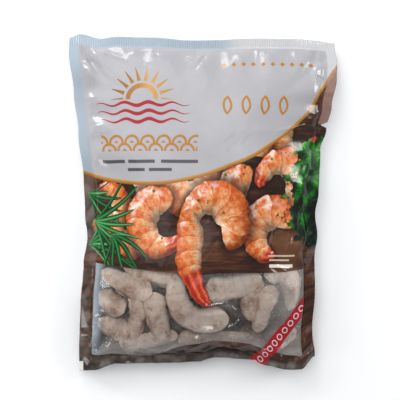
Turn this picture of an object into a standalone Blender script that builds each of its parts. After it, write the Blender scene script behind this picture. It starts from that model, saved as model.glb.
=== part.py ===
"""A sealed film pouch of frozen raw prawns, lying on its back.

The pouch is a flat printed bag with a heat-sealed band on every edge. Filled, it swells into a pillow, its waist
pulls in and its seals buckle. A clear window low on the front shows the prawns, curled and packed close.
The frame: +Z up, +X to the right across the front, +Y towards the pouch's top, origin under the middle.
"""

import math

import bmesh
import bpy
from mathutils import Vector, noise

# Driving sizes, in metres
POUCH_WIDTH = 0.250
POUCH_LENGTH = 0.314
SEAL_BAND = 0.009
SEAL_THICKNESS = 0.0010
SEAL_LEVEL = 0.0125  # the seals' height above the table
FRONT_RISE = 0.0315  # from the seals to the top of the swell
BACK_DROP = 0.0200  # how far the back would hang below the seals, if the table let it
SHOULDER = 0.72  # under 1 is a fuller pillow

# How far in from each seal the swell grows
SIDE_REACH = 0.092
BOTTOM_REACH = 0.078
TOP_REACH = 0.150
BACK_REACH = 0.034

# Edges as (share of the way along, distance in from the pouch's widest or longest)
LEFT_INSETS = (
    (0.00, 0.0093), (0.20, 0.0110), (0.32, 0.0140), (0.395, 0.0177), (0.47, 0.0153),
    (0.57, 0.0140), (0.71, 0.0093), (0.83, 0.0047), (0.96, 0.0000), (1.00, 0.0004),
)
RIGHT_INSETS = (
    (0.00, 0.0210), (0.10, 0.0233), (0.22, 0.0212), (0.33, 0.0214), (0.40, 0.0184), (0.465, 0.0207),
    (0.53, 0.0177), (0.66, 0.0158), (0.72, 0.0102), (0.79, 0.0056), (0.88, 0.0009), (0.93, 0.0000), (1.00, 0.0020),
)
TOP_DROPS = (
    (0.00, 0.0030), (0.04, 0.0000), (0.12, 0.0046), (0.18, 0.0028), (0.30, 0.0037), (0.45, 0.0063),
    (0.57, 0.0056), (0.65, 0.0047), (0.86, 0.0047), (0.92, 0.0056), (1.00, 0.0079),
)
BOTTOM_RISES = (
    (0.00, 0.0000), (0.06, 0.0009), (0.16, 0.0074), (0.37, 0.0079), (0.50, 0.0093), (0.58, 0.0130),
    (0.72, 0.0112), (0.80, 0.0056), (0.88, 0.0019), (0.94, 0.0019), (1.00, 0.0140),
)
EDGE_FADE = 5  # power by which an end's wave dies away towards the middle

# The V torn into the right-hand seal to open the pouch
TEAR_AT = 0.735
TEAR_HALF_WIDTH = 0.0085  # as a share of the pouch's length
TEAR_DEPTH = 0.0065

# Relief of the film over what it holds
LUMP_HEIGHT = 0.0018
LUMP_SPACING = 0.034
PLEAT_HEIGHT = 0.0019
PLEAT_SPACING = 0.031
PLEAT_REACH = 0.016
EAR_CREASE_DEPTH = 0.0035
EAR_CREASE_WIDTH = 0.008
EAR_CREASE_LENGTH = 0.050
BUCKLE_HEIGHT = 0.0022
BUCKLES_ALONG_SIDE = 3.4
BUCKLES_ALONG_END = 2.6
CORNER_SAG = 0.0050
CORNER_SIZE = 0.045

# The window's well, as lengths on the flat film from its lower left corner. It runs on a little under the print
# above the window, as the prawns do.
WINDOW_LEFT = 0.0165
WINDOW_RIGHT = 0.2365
WINDOW_BOTTOM = 0.0150
WINDOW_TOP = 0.1080
WINDOW_DEPTH = 0.0130  # the well that holds the prawns, below the film
WELL_SHARE = 0.60  # of the pouch's thickness, where it is thin
SIDE_GAP = 0.0006
FLOOR_GAP = 0.0015

# The prawns that show: girth, how deep they lie, and head, back and tail on the flat film
PRAWNS = (
    (0.0225, 0.0000, (0.074, 0.075), (0.050, 0.0805), (0.026, 0.091)),
    (0.0205, 0.0012, (0.101, 0.088), (0.076, 0.091), (0.048, 0.100)),
    (0.0230, 0.0010, (0.045, 0.056), (0.034, 0.063), (0.024, 0.071)),
    (0.0165, 0.0016, (0.062, 0.065), (0.062, 0.049), (0.057, 0.030)),
    (0.0215, 0.0025, (0.049, 0.034), (0.037, 0.038), (0.024, 0.044)),
    (0.0205, 0.0006, (0.083, 0.080), (0.082, 0.055), (0.092, 0.028)),
    (0.0195, 0.0024, (0.044, 0.018), (0.072, 0.023), (0.102, 0.028)),
    (0.0235, 0.0000, (0.153, 0.047), (0.115, 0.051), (0.102, 0.086)),
    (0.0235, 0.0003, (0.138, 0.075), (0.164, 0.078), (0.186, 0.087)),
    (0.0175, 0.0000, (0.203, 0.077), (0.195, 0.057), (0.191, 0.036)),
    (0.0215, 0.0006, (0.198, 0.089), (0.220, 0.088), (0.223, 0.062)),
    (0.0185, 0.0022, (0.212, 0.022), (0.225, 0.027), (0.235, 0.031)),
    (0.0170, 0.0030, (0.110, 0.024), (0.145, 0.025), (0.182, 0.024)),
    (0.0185, 0.0028, (0.190, 0.083), (0.180, 0.067), (0.184, 0.048)),
)
FILM_GAP = 0.0006  # between the film and the prawns under it
CORE_SHARE = 0.44  # of the well's depth, from the film down to the packed core
CORE_INSET = 0.0003  # of the trimmed prawns within the core's sides and base
PLATES = 6
PLATE_STEP = 0.07
RINGS_A_PLATE = 2

FRONT_CELLS = (34, 42)
WINDOW_CELLS = (30, 13)


def eased(stations, share):
    """The value at a share of the way along an edge, eased between its stations."""
    for (low, value), (high, following) in zip(stations, stations[1:]):
        if share <= high:
            way = (share - low) / (high - low)
            return value + (following - value) * (1 - math.cos(math.pi * way)) / 2
    return stations[-1][1]


def ramp(value):
    """A smooth step from 0 to 1."""
    value = min(max(value, 0.0), 1.0)
    return value * value * (3 - 2 * value)


def side_lines(up):
    """The left and right edges' X at a share of the way up."""
    half = POUCH_WIDTH / 2
    return eased(LEFT_INSETS, up) - half, half - eased(RIGHT_INSETS, up)


def plan_point(across, up):
    """Where a point of the flat film lies once the pouch is filled, seen from above."""
    left, right = side_lines(up)
    x = left + (right - left) * across
    y = POUCH_LENGTH * (up - 0.5)
    y += eased(BOTTOM_RISES, across) * (1 - up) ** EDGE_FADE
    y -= eased(TOP_DROPS, across) * up ** EDGE_FADE
    tear = max(0.0, 1 - abs(up - TEAR_AT) / TEAR_HALF_WIDTH)
    outer = max(0.0, 1 - (1 - across) * (right - left) / SEAL_BAND)
    return x - TEAR_DEPTH * tear * outer, y


def inner_distances(across, up):
    """How far a point lies inside the left, right, bottom and top seals."""
    left, right = side_lines(up)
    width = right - left
    from_edges = (across * width, (1 - across) * width, up * POUCH_LENGTH, (1 - up) * POUCH_LENGTH)
    return [max(0.0, distance - SEAL_BAND) for distance in from_edges]


def dome(distance, reach):
    """A pillow's profile: 0 at the seal and 1 from its reach on."""
    out = 1 - min(distance / reach, 1.0)
    return max(0.0, 1 - out * out) ** SHOULDER


def swell(across, up):
    """How full the front is, from 0 on the seals to 1 at the top of the pillow."""
    left, right, bottom, top = inner_distances(across, up)
    return dome(min(left, right), SIDE_REACH) * dome(bottom, BOTTOM_REACH) * dome(top, TOP_REACH)


def seal_height(across, up):
    """The height of the sealed edges, which buckle and sag at the corners."""
    sides = math.sin(2 * math.pi * (BUCKLES_ALONG_SIDE * up + 0.4 * across))
    ends = math.sin(2 * math.pi * (BUCKLES_ALONG_END * across + 0.3 * up))
    near_side = ramp(abs(2 * across - 1))
    wave = BUCKLE_HEIGHT * (sides * near_side + ends * (1 - near_side))
    x, y = plan_point(across, up)
    from_corner = math.hypot(POUCH_WIDTH / 2 - abs(x), POUCH_LENGTH / 2 - abs(y))
    return SEAL_LEVEL + wave - CORNER_SAG * (1 - ramp(from_corner / CORNER_SIZE))


def film_relief(across, up):
    """Lumps over the prawns, pleats along the seals and the creases that run in from the corners."""
    x, y = plan_point(across, up)
    left, right, bottom, top = inner_distances(across, up)
    nearest = min(left, right, bottom, top)
    lumps = LUMP_HEIGHT * noise.noise(Vector((x / LUMP_SPACING, y / LUMP_SPACING, 3.1)))
    along = y if min(left, right) < min(bottom, top) else x
    pleats = math.sin(2 * math.pi * along / PLEAT_SPACING + 5 * noise.noise(Vector((x * 9, y * 9, 0.7))))
    pleats *= PLEAT_HEIGHT * math.exp(-nearest / PLEAT_REACH) * ramp(nearest / SEAL_BAND)
    ears = 0.0
    for side_gap in (left, right):
        for end_gap in (bottom, top):
            reach = (side_gap + end_gap) / 2
            off_line = abs(side_gap - 0.8 * end_gap) / EAR_CREASE_WIDTH
            ears += math.exp(-off_line * off_line) * ramp(reach / 0.01) * (1 - ramp(reach / EAR_CREASE_LENGTH))
    return lumps * swell(across, up) + pleats - EAR_CREASE_DEPTH * ears


def front_height(across, up):
    """The front film's height over the table."""
    full = swell(across, up)
    seal = seal_height(across, up)
    rise = FRONT_RISE * full + film_relief(across, up)
    return seal * (1 - full) + SEAL_LEVEL * full + SEAL_THICKNESS / 2 + max(rise, 0.0)


def back_height(across, up):
    """The back film's height: it hangs from the seals and lies flat where the table holds it."""
    left, right, bottom, top = inner_distances(across, up)
    hang = dome(min(left, right, bottom, top), BACK_REACH)
    return max(0.0, seal_height(across, up) - SEAL_THICKNESS / 2 - BACK_DROP * hang)


def well_depth(across, up):
    """How deep the well under the window is: a share of the pouch where it is thin, and never the whole."""
    thickness = front_height(across, up) - back_height(across, up)
    return WINDOW_DEPTH * math.tanh(WELL_SHARE * thickness / WINDOW_DEPTH)


def well_floor(across, up):
    """The height of the well's floor."""
    return front_height(across, up) - well_depth(across, up)


def block_between(name, cells, across_span, up_span, top_height, bottom_height, extra_rows=()):
    """A closed block over part of the film's plan, from one height function down to another."""
    rows = sorted({up_span[0] + (up_span[1] - up_span[0]) * j / cells[1] for j in range(cells[1] + 1)} | set(extra_rows))
    mesh = bpy.data.meshes.new(name)
    shape = bmesh.new()
    bmesh.ops.create_grid(shape, x_segments=cells[0], y_segments=len(rows) - 1, size=0.5)
    skins = [list(shape.verts)]
    copied = bmesh.ops.duplicate(shape, geom=shape.verts[:] + shape.edges[:] + shape.faces[:])["geom"]
    skins.append([item for item in copied if isinstance(item, bmesh.types.BMVert)])
    lower_faces = [item for item in copied if isinstance(item, bmesh.types.BMFace)]
    rims = [edge for edge in shape.edges if edge.is_boundary]
    for skin, height in zip(skins, (top_height, bottom_height)):
        for vert in skin:
            across = across_span[0] + (across_span[1] - across_span[0]) * (vert.co.x + 0.5)
            up = rows[round((vert.co.y + 0.5) * (len(rows) - 1))]
            vert.co = (*plan_point(across, up), height(across, up))
    bmesh.ops.reverse_faces(shape, faces=lower_faces)
    bmesh.ops.bridge_loops(shape, edges=rims)
    bmesh.ops.recalc_face_normals(shape, faces=shape.faces)
    shape.to_mesh(mesh)
    shape.free()
    return bpy.data.objects.new(name, mesh)


def gather(objects, name, hidden=False):
    """Puts objects in a collection of their own. Cutters are hidden from renders."""
    group = bpy.data.collections.new(name)
    bpy.context.scene.collection.children.link(group)
    for item in objects:
        group.objects.link(item)
        item.hide_render = hidden
        item.display_type = "WIRE" if hidden else "TEXTURED"
    return group


def plain_material(name, colour, roughness):
    """A Principled material with one colour."""
    material = bpy.data.materials.new(name)
    material.use_nodes = True
    shader = material.node_tree.nodes["Principled BSDF"]
    shader.inputs["Base Color"].default_value = (*colour, 1.0)
    shader.inputs["Roughness"].default_value = roughness
    return material


def apply_boolean(target, operation, cutter=None, group=None, solver="EXACT"):
    """Applies one Boolean to the target, by a cutter or by a whole collection."""
    modifier = target.modifiers.new(operation.title(), "BOOLEAN")
    modifier.operation = operation
    modifier.solver = solver
    modifier.operand_type = "COLLECTION" if group else "OBJECT"
    if group:
        modifier.collection = group
    else:
        modifier.object = cutter
    bpy.context.view_layer.update()
    evaluated = target.evaluated_get(bpy.context.evaluated_depsgraph_get())
    result = bpy.data.meshes.new_from_object(evaluated)
    target.modifiers.clear()
    target.data = result


def window_span(margin):
    """The window's extent on the flat film as shares, drawn in by a margin."""
    across = ((WINDOW_LEFT + margin) / POUCH_WIDTH, (WINDOW_RIGHT - margin) / POUCH_WIDTH)
    up = ((WINDOW_BOTTOM + margin) / POUCH_LENGTH, (WINDOW_TOP - margin) / POUCH_LENGTH)
    return across, up


def make_pouch():
    """The pouch with its contents as one solid, with a well under the clear window."""
    tear_rows = (TEAR_AT - TEAR_HALF_WIDTH, TEAR_AT, TEAR_AT + TEAR_HALF_WIDTH)
    pouch = block_between("pouch", FRONT_CELLS, (0, 1), (0, 1), front_height, back_height, tear_rows)
    well = block_between(
        "window_well", WINDOW_CELLS, *window_span(0),
        lambda across, up: front_height(across, up) + WINDOW_DEPTH,
        well_floor,
    )
    gather([well], "cutters", hidden=True)
    gather([pouch], "frozen_prawn_pouch")
    apply_boolean(pouch, "DIFFERENCE", cutter=well)
    thin = pouch.modifiers.new("FlatBack", "DECIMATE")
    thin.decimate_type = "DISSOLVE"
    thin.angle_limit = math.radians(0.2)
    pouch.data.materials.append(plain_material("printed_film", (0.62, 0.62, 0.66), 0.3))
    return pouch


def plate_radius(way):
    """A tail's thickness along it: blunt where the head was cut, six stepped plates, slim at the tail."""
    body = (1 - 0.38 * way ** 2) * (0.78 + 0.22 * ramp(way / 0.12)) * (1 - 0.35 * ramp((way - 0.9) / 0.1))
    return body * (1 + PLATE_STEP * ((way * PLATES) % 1.0 - 0.5))


def make_prawn(number, girth, depth, head, back, tail):
    """One prawn tail: a curve under the film through its head, back and tail, made a closed mesh."""
    count = PLATES * RINGS_A_PLATE + 1
    head, back, tail = Vector(head), Vector(back), Vector(tail)
    pull = 2 * back - (head + tail) / 2
    curve = bpy.data.curves.new(f"spine_{number}", "CURVE")
    curve.dimensions = "3D"
    curve.bevel_depth = girth / 2
    curve.bevel_resolution = 2
    curve.use_fill_caps = True
    spline = curve.splines.new("POLY")
    spline.points.add(count - 1)
    for index, point in enumerate(spline.points):
        way = index / (count - 1)
        flat = head * (1 - way) ** 2 + pull * 2 * way * (1 - way) + tail * way * way
        across, up = flat.x / POUCH_WIDTH, flat.y / POUCH_LENGTH
        radius = plate_radius(way)
        height = front_height(across, up) - FILM_GAP - depth - radius * girth / 2
        point.co = (*plan_point(across, up), height, 1.0)
        point.radius = radius
    bent = bpy.data.objects.new(curve.name, curve)
    bpy.context.scene.collection.objects.link(bent)
    bpy.context.view_layer.update()
    mesh = bpy.data.meshes.new_from_object(bent.evaluated_get(bpy.context.evaluated_depsgraph_get()))
    shape = bmesh.new()
    shape.from_mesh(mesh)
    bmesh.ops.remove_doubles(shape, verts=shape.verts, dist=1e-6)
    bmesh.ops.recalc_face_normals(shape, faces=shape.faces)
    shape.to_mesh(mesh)
    shape.free()
    solid = bpy.data.objects.new(f"prawn_{number}", mesh)
    solid.matrix_world = bent.matrix_world
    bpy.data.objects.remove(bent)
    return solid


def window_block(name, margin, top_height, lift):
    """A helper block within the window's outline, standing a little over the well's floor."""
    block = block_between(
        name, WINDOW_CELLS, *window_span(margin), top_height,
        lambda across, up: well_floor(across, up) + lift,
    )
    bpy.data.collections["cutters"].objects.link(block)
    block.hide_render = True
    block.display_type = "WIRE"
    return block


def make_prawns():
    """The prawns in the window: those that show are trimmed to it, then fused with the packed core below."""
    heap, *others = (make_prawn(number, *prawn) for number, prawn in enumerate(PRAWNS, start=1))
    heap.name = "prawns_in_window"
    gather([heap], "frozen_prawns")
    apply_boolean(heap, "UNION", group=gather(others, "loose_prawns", hidden=True), solver="MANIFOLD")
    trim = window_block(
        "window_trim", SIDE_GAP + CORE_INSET,
        lambda across, up: front_height(across, up) + WINDOW_DEPTH, FLOOR_GAP + CORE_INSET,
    )
    apply_boolean(heap, "INTERSECT", cutter=trim, solver="MANIFOLD")
    core = window_block(
        "packed_core", SIDE_GAP,
        lambda across, up: front_height(across, up) - CORE_SHARE * well_depth(across, up), FLOOR_GAP,
    )
    apply_boolean(heap, "UNION", cutter=core, solver="MANIFOLD")
    for prawn in others:
        bpy.data.objects.remove(prawn)
    heap.data.materials.clear()
    heap.data.materials.append(plain_material("glazed_prawn", (0.42, 0.36, 0.32), 0.55))
    return heap


def main():
    """Clears the scene and builds the pouch and the prawns in its window."""
    for item in list(bpy.data.objects):
        bpy.data.objects.remove(item)
    make_pouch()
    make_prawns()


main()
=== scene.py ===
"""A sealed film pouch of frozen raw prawns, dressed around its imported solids.

The pouch is one skin of printed film, left clear over a window, with heat-sealed edges that crinkle. Under
the window lie glazed prawns, curled and packed close. Lengths are metres, and places on the print are
millimetres across and up the flat film from its lower left corner.
"""

import logging
import math
from dataclasses import dataclass, field
from enum import Enum

import bmesh
import bpy
import numpy as np
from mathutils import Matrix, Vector, noise

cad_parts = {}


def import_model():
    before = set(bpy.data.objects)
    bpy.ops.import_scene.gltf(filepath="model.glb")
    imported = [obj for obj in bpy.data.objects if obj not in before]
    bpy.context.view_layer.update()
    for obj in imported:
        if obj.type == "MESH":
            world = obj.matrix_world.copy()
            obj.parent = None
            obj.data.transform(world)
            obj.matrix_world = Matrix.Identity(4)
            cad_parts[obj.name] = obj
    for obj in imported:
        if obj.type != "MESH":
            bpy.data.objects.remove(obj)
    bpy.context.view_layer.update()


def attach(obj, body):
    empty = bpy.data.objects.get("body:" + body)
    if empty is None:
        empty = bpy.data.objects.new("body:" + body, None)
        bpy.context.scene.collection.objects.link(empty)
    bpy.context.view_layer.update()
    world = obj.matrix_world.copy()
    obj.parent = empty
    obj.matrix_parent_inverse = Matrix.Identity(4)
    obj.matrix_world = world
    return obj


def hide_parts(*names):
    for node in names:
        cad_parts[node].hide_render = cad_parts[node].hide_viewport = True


LOG = logging.getLogger("prawn_pouch")

Stations = tuple[tuple[float, float], ...]
Spot = tuple[float, float]
Place = tuple[float, float, float]
Colour = tuple[float, float, float, float]

MATH = "ShaderNodeMath"
VECTOR_MATH = "ShaderNodeVectorMath"
MIX = "ShaderNodeMix"
RANGE = "ShaderNodeMapRange"
RAMP = "ShaderNodeValToRGB"
NOISE = "ShaderNodeTexNoise"
CURVE = "ShaderNodeFloatCurve"
GROUP = "ShaderNodeGroup"

# The flat film's size in the millimetres that places on the print are given in.
FILM_WIDE = 250
FILM_HIGH = 314


def linear(code: str) -> Colour:
    """Turns an sRGB hex colour into the linear values that shaders take.

    Args:
        code: the colour as "#rrggbb".

    Returns:
        Red, green, blue and a full alpha.
    """
    channels = [int(code[start:start + 2], 16) / 255 for start in (1, 3, 5)]
    red, green, blue = (c / 12.92 if c <= 0.04045 else ((c + 0.055) / 1.055) ** 2.4 for c in channels)
    return red, green, blue, 1.0


def add_node(tree: bpy.types.NodeTree, kind: str, *links: object, **settings: object) -> bpy.types.Node:
    """Adds one node with its settings and links.

    Args:
        tree: the node tree it goes in.
        kind: Blender's name for the node.
        links: what feeds its sockets in order. A node stands for its first output, and None leaves a socket.
        settings: its attributes, and its sockets by name with an underscore for a space. Stops are a ramp's
            places and hex colours, and points are a curve's.

    Returns:
        The node.
    """
    node = tree.nodes.new(kind)
    stops, points = settings.pop("stops", ()), settings.pop("points", ())
    for name in [name for name in settings if hasattr(node, name)]:
        setattr(node, name, settings.pop(name))
    if stops:
        ramp_stops = node.color_ramp.elements
        while len(ramp_stops) < len(stops):
            ramp_stops.new(1.0)
        for element, (place, code) in zip(ramp_stops, stops):
            element.position, element.color = place, linear(code)
    if points:
        curve = node.mapping.curves[0]
        for place in points[1:-1]:
            curve.points.new(*place)
        curve.points[0].location, curve.points[-1].location = points[0], points[-1]
        node.mapping.update()
    sockets = [socket for socket in node.inputs if socket.enabled]
    feeds = list(zip(sockets, links))
    for name, value in settings.items():
        feeds.append((next(socket for socket in sockets if socket.name.replace(" ", "_") == name), value))
    for socket, feed in feeds:
        if isinstance(feed, bpy.types.Node):
            feed = next(out for out in feed.outputs if out.enabled)
        if isinstance(feed, bpy.types.NodeSocket):
            tree.links.new(feed, socket)
        elif isinstance(feed, str):
            socket.default_value = linear(feed)
        elif feed is not None:
            socket.default_value = feed
    return node


def new_material(name: str) -> tuple[bpy.types.Material, bpy.types.NodeTree, bpy.types.Node]:
    """Makes an empty node material.

    Args:
        name: the material's name, from what the real one is.

    Returns:
        The material, its node tree and its output node.
    """
    material = bpy.data.materials.new(name)
    material.use_nodes = True
    tree = material.node_tree
    tree.nodes.clear()
    return material, tree, tree.nodes.new("ShaderNodeOutputMaterial")


def add_mesh(name: str, points: list, faces: list, uvs: np.ndarray, uv_name: str) -> bpy.types.Object:
    """Makes a smooth mesh object with one UV map.

    Args:
        name: the piece's name.
        points: its vertices.
        faces: its faces as vertex numbers.
        uvs: each vertex's place on the UV map.
        uv_name: the UV map's name.

    Returns:
        The object, linked to the scene.
    """
    mesh = bpy.data.meshes.new(name)
    mesh.from_pydata(points, [], faces)
    layer = mesh.uv_layers.new(name=uv_name)
    loops = np.empty(len(mesh.loops), dtype=np.int32)
    mesh.loops.foreach_get("vertex_index", loops)
    layer.data.foreach_set("uv", np.asarray(uvs, dtype=np.float32)[loops].ravel())
    mesh.shade_smooth()
    piece = bpy.data.objects.new(name, mesh)
    bpy.context.scene.collection.objects.link(piece)
    return piece


def eased(stations: Stations, share: np.ndarray) -> np.ndarray:
    """Reads an edge's value at shares of the way along, eased between its stations.

    Args:
        stations: the edge's stations, each a share of the way along and a value.
        share: shares of the way along.

    Returns:
        The value at each share.
    """
    places, values = np.array(stations).T
    index = np.clip(np.searchsorted(places, share, side="left") - 1, 0, len(places) - 2)
    way = np.clip((share - places[index]) / (places[index + 1] - places[index]), 0, 1)
    return values[index] + (values[index + 1] - values[index]) * (1 - np.cos(math.pi * way)) / 2


def ramp(value: np.ndarray) -> np.ndarray:
    """Steps smoothly from 0 to 1."""
    value = np.clip(value, 0, 1)
    return value * value * (3 - 2 * value)


def cloud(x: np.ndarray, y: np.ndarray, z: float) -> np.ndarray:
    """Reads Blender's own soft noise at many points of one level."""
    return np.array([noise.noise(Vector((a, b, z))) for a, b in zip(x.ravel(), y.ravel())]).reshape(x.shape)


@dataclass(frozen=True)
class PouchForm:
    """The filled pouch's shape, the same as its solids have, as functions of the flat film's shares."""

    width: float = 0.250
    length: float = 0.314
    seal_band: float = 0.009
    seal_thickness: float = 0.0004
    seal_level: float = 0.0125
    front_rise: float = 0.0315
    back_drop: float = 0.0200
    shoulder: float = 0.72
    side_reach: float = 0.092
    bottom_reach: float = 0.078
    top_reach: float = 0.150
    back_reach: float = 0.034
    left_insets: Stations = (
        (0.00, 0.0093), (0.20, 0.0110), (0.32, 0.0140), (0.395, 0.0177), (0.47, 0.0153),
        (0.57, 0.0140), (0.71, 0.0093), (0.83, 0.0047), (0.96, 0.0000), (1.00, 0.0004),
    )
    right_insets: Stations = (
        (0.00, 0.0210), (0.10, 0.0233), (0.22, 0.0212), (0.33, 0.0214), (0.40, 0.0184), (0.465, 0.0207),
        (0.53, 0.0177), (0.66, 0.0158), (0.72, 0.0102), (0.79, 0.0056), (0.88, 0.0009), (0.93, 0.0000),
        (1.00, 0.0020),
    )
    top_drops: Stations = (
        (0.00, 0.0030), (0.04, 0.0000), (0.12, 0.0046), (0.18, 0.0028), (0.30, 0.0037), (0.45, 0.0063),
        (0.57, 0.0056), (0.65, 0.0047), (0.86, 0.0047), (0.92, 0.0056), (1.00, 0.0079),
    )
    bottom_rises: Stations = (
        (0.00, 0.0000), (0.06, 0.0009), (0.16, 0.0074), (0.37, 0.0079), (0.50, 0.0093), (0.58, 0.0130),
        (0.72, 0.0112), (0.80, 0.0056), (0.88, 0.0019), (0.94, 0.0019), (1.00, 0.0140),
    )
    edge_fade: float = 5
    tear_at: float = 0.735
    tear_half_width: float = 0.0085
    tear_depth: float = 0.0065
    lump_height: float = 0.0018
    lump_spacing: float = 0.034
    pleat_height: float = 0.0019
    pleat_spacing: float = 0.031
    pleat_reach: float = 0.016
    ear_crease_depth: float = 0.0035
    ear_crease_width: float = 0.008
    ear_crease_start: float = 0.010
    ear_crease_length: float = 0.050
    buckle_height: float = 0.0022
    buckles_along_side: float = 3.4
    buckles_along_end: float = 2.6
    corner_sag: float = 0.0050
    corner_size: float = 0.045

    def sides(self, up: np.ndarray) -> tuple[np.ndarray, np.ndarray]:
        """The left and right edges' X at shares of the way up."""
        half = self.width / 2
        return eased(self.left_insets, up) - half, half - eased(self.right_insets, up)

    def plan(self, across: np.ndarray, up: np.ndarray) -> tuple[np.ndarray, np.ndarray]:
        """Where points of the flat film lie once the pouch is filled, seen from above.

        Args:
            across: shares of the way across the flat film.
            up: shares of the way up it.

        Returns:
            X and Y in metres.
        """
        left, right = self.sides(up)
        x = left + (right - left) * across
        y = self.length * (up - 0.5)
        y = y + eased(self.bottom_rises, across) * (1 - up) ** self.edge_fade
        y = y - eased(self.top_drops, across) * up ** self.edge_fade
        tear = np.maximum(0, 1 - np.abs(up - self.tear_at) / self.tear_half_width)
        outer = np.maximum(0, 1 - (1 - across) * (right - left) / self.seal_band)
        return x - self.tear_depth * tear * outer, y

    def shares_at(self, x: np.ndarray, y: np.ndarray) -> tuple[np.ndarray, np.ndarray]:
        """Turns places seen from above back into shares of the flat film, by closing in on them.

        Args:
            x: X of the places in metres.
            y: Y of the places in metres.

        Returns:
            The shares across and up the flat film.
        """
        across, up = x / self.width + 0.5, y / self.length + 0.5
        for _ in range(6):
            found_x, found_y = self.plan(across, up)
            across = np.clip(across + (x - found_x) / self.width, 0, 1)
            up = np.clip(up + (y - found_y) / self.length, 0, 1)
        return across, up

    def gaps(self, across: np.ndarray, up: np.ndarray) -> list[np.ndarray]:
        """How far points lie inside the left, right, bottom and top seals.

        Args:
            across: shares of the way across the flat film.
            up: shares of the way up it.

        Returns:
            The four distances in metres, 0 on the seals themselves.
        """
        left, right = self.sides(up)
        wide = right - left
        spans = (across * wide, (1 - across) * wide, up * self.length, (1 - up) * self.length)
        return [np.maximum(0, span - self.seal_band) for span in spans]

    def dome(self, distance: np.ndarray, reach: float) -> np.ndarray:
        """A pillow's profile: 0 at the seal and 1 from its reach on."""
        out = 1 - np.minimum(distance / reach, 1)
        return np.maximum(0, 1 - out * out) ** self.shoulder

    def swell(self, across: np.ndarray, up: np.ndarray) -> np.ndarray:
        """How full the front is, from 0 on the seals to 1 at the top of the pillow.

        Args:
            across: shares of the way across the flat film.
            up: shares of the way up it.

        Returns:
            How full it is at each point.
        """
        left, right, bottom, top = self.gaps(across, up)
        ends = self.dome(bottom, self.bottom_reach) * self.dome(top, self.top_reach)
        return self.dome(np.minimum(left, right), self.side_reach) * ends

    def seal_height(self, across: np.ndarray, up: np.ndarray) -> np.ndarray:
        """The height of the sealed edges, which buckle and sag at the corners.

        Args:
            across: shares of the way across the flat film.
            up: shares of the way up it.

        Returns:
            Heights over the table in metres.
        """
        along_side = np.sin(2 * math.pi * (self.buckles_along_side * up + 0.4 * across))
        along_end = np.sin(2 * math.pi * (self.buckles_along_end * across + 0.3 * up))
        near_side = ramp(np.abs(2 * across - 1))
        wave = self.buckle_height * (along_side * near_side + along_end * (1 - near_side))
        x, y = self.plan(across, up)
        from_corner = np.hypot(self.width / 2 - np.abs(x), self.length / 2 - np.abs(y))
        return self.seal_level + wave - self.corner_sag * (1 - ramp(from_corner / self.corner_size))

    def relief(self, across: np.ndarray, up: np.ndarray) -> np.ndarray:
        """Lumps over the contents, pleats along the seals and the creases that run in from the corners.

        Args:
            across: shares of the way across the flat film.
            up: shares of the way up it.

        Returns:
            What they add to the smooth pillow, in metres.
        """
        x, y = self.plan(across, up)
        left, right, bottom, top = self.gaps(across, up)
        beside, beyond = np.minimum(left, right), np.minimum(bottom, top)
        nearest = np.minimum(beside, beyond)
        lumps = self.lump_height * cloud(x / self.lump_spacing, y / self.lump_spacing, 3.1)
        along = np.where(beside < beyond, y, x)
        pleats = np.sin(2 * math.pi * along / self.pleat_spacing + 5 * cloud(x * 9, y * 9, 0.7))
        pleats *= self.pleat_height * np.exp(-nearest / self.pleat_reach) * ramp(nearest / self.seal_band)
        ears = 0
        for side_gap in (left, right):
            for end_gap in (bottom, top):
                reach = (side_gap + end_gap) / 2
                off_line = (side_gap - 0.8 * end_gap) / self.ear_crease_width
                stop = 1 - ramp(reach / self.ear_crease_length)
                ears = ears + np.exp(-off_line ** 2) * ramp(reach / self.ear_crease_start) * stop
        return lumps * self.swell(across, up) + pleats - self.ear_crease_depth * ears

    def front(self, across: np.ndarray, up: np.ndarray) -> np.ndarray:
        """The smooth front's height over the table.

        Args:
            across: shares of the way across the flat film.
            up: shares of the way up it.

        Returns:
            Heights in metres.
        """
        full, seal = self.swell(across, up), self.seal_height(across, up)
        rise = np.maximum(self.front_rise * full + self.relief(across, up), 0)
        return seal * (1 - full) + self.seal_level * full + self.seal_thickness / 2 + rise

    def back(self, across: np.ndarray, up: np.ndarray) -> np.ndarray:
        """The back film's height: it hangs from the seals and lies flat where the table holds it."""
        hang = self.dome(np.minimum.reduce(self.gaps(across, up)), self.back_reach)
        return np.maximum(0, self.seal_height(across, up) - self.seal_thickness / 2 - self.back_drop * hang)


@dataclass(frozen=True)
class Crease:
    """A sharp fold in the film between two places on the print, highest at the seal if it runs from one."""

    start: Spot
    end: Spot
    height: float
    width: float
    from_seal: bool = False

    def relief(self, u: np.ndarray, v: np.ndarray) -> np.ndarray:
        """The fold's height at points of the film.

        Args:
            u: millimetres across the print.
            v: millimetres up it.

        Returns:
            What the fold adds to the film's height, in metres.
        """
        run, rise = self.end[0] - self.start[0], self.end[1] - self.start[1]
        span = math.hypot(run, rise)
        along = ((u - self.start[0]) * run + (v - self.start[1]) * rise) / span ** 2
        off = np.abs((u - self.start[0]) * rise - (v - self.start[1]) * run) / span / self.width
        inside = np.clip(along, 0, 1)
        taper = (1 - inside) ** 1.5 * ramp(along * 12) if self.from_seal else np.sin(math.pi * inside) ** 0.8
        taper = np.where((along < 0) | (along > 1), 0, taper)
        return self.height * taper * np.exp(-off ** 1.3)


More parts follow.
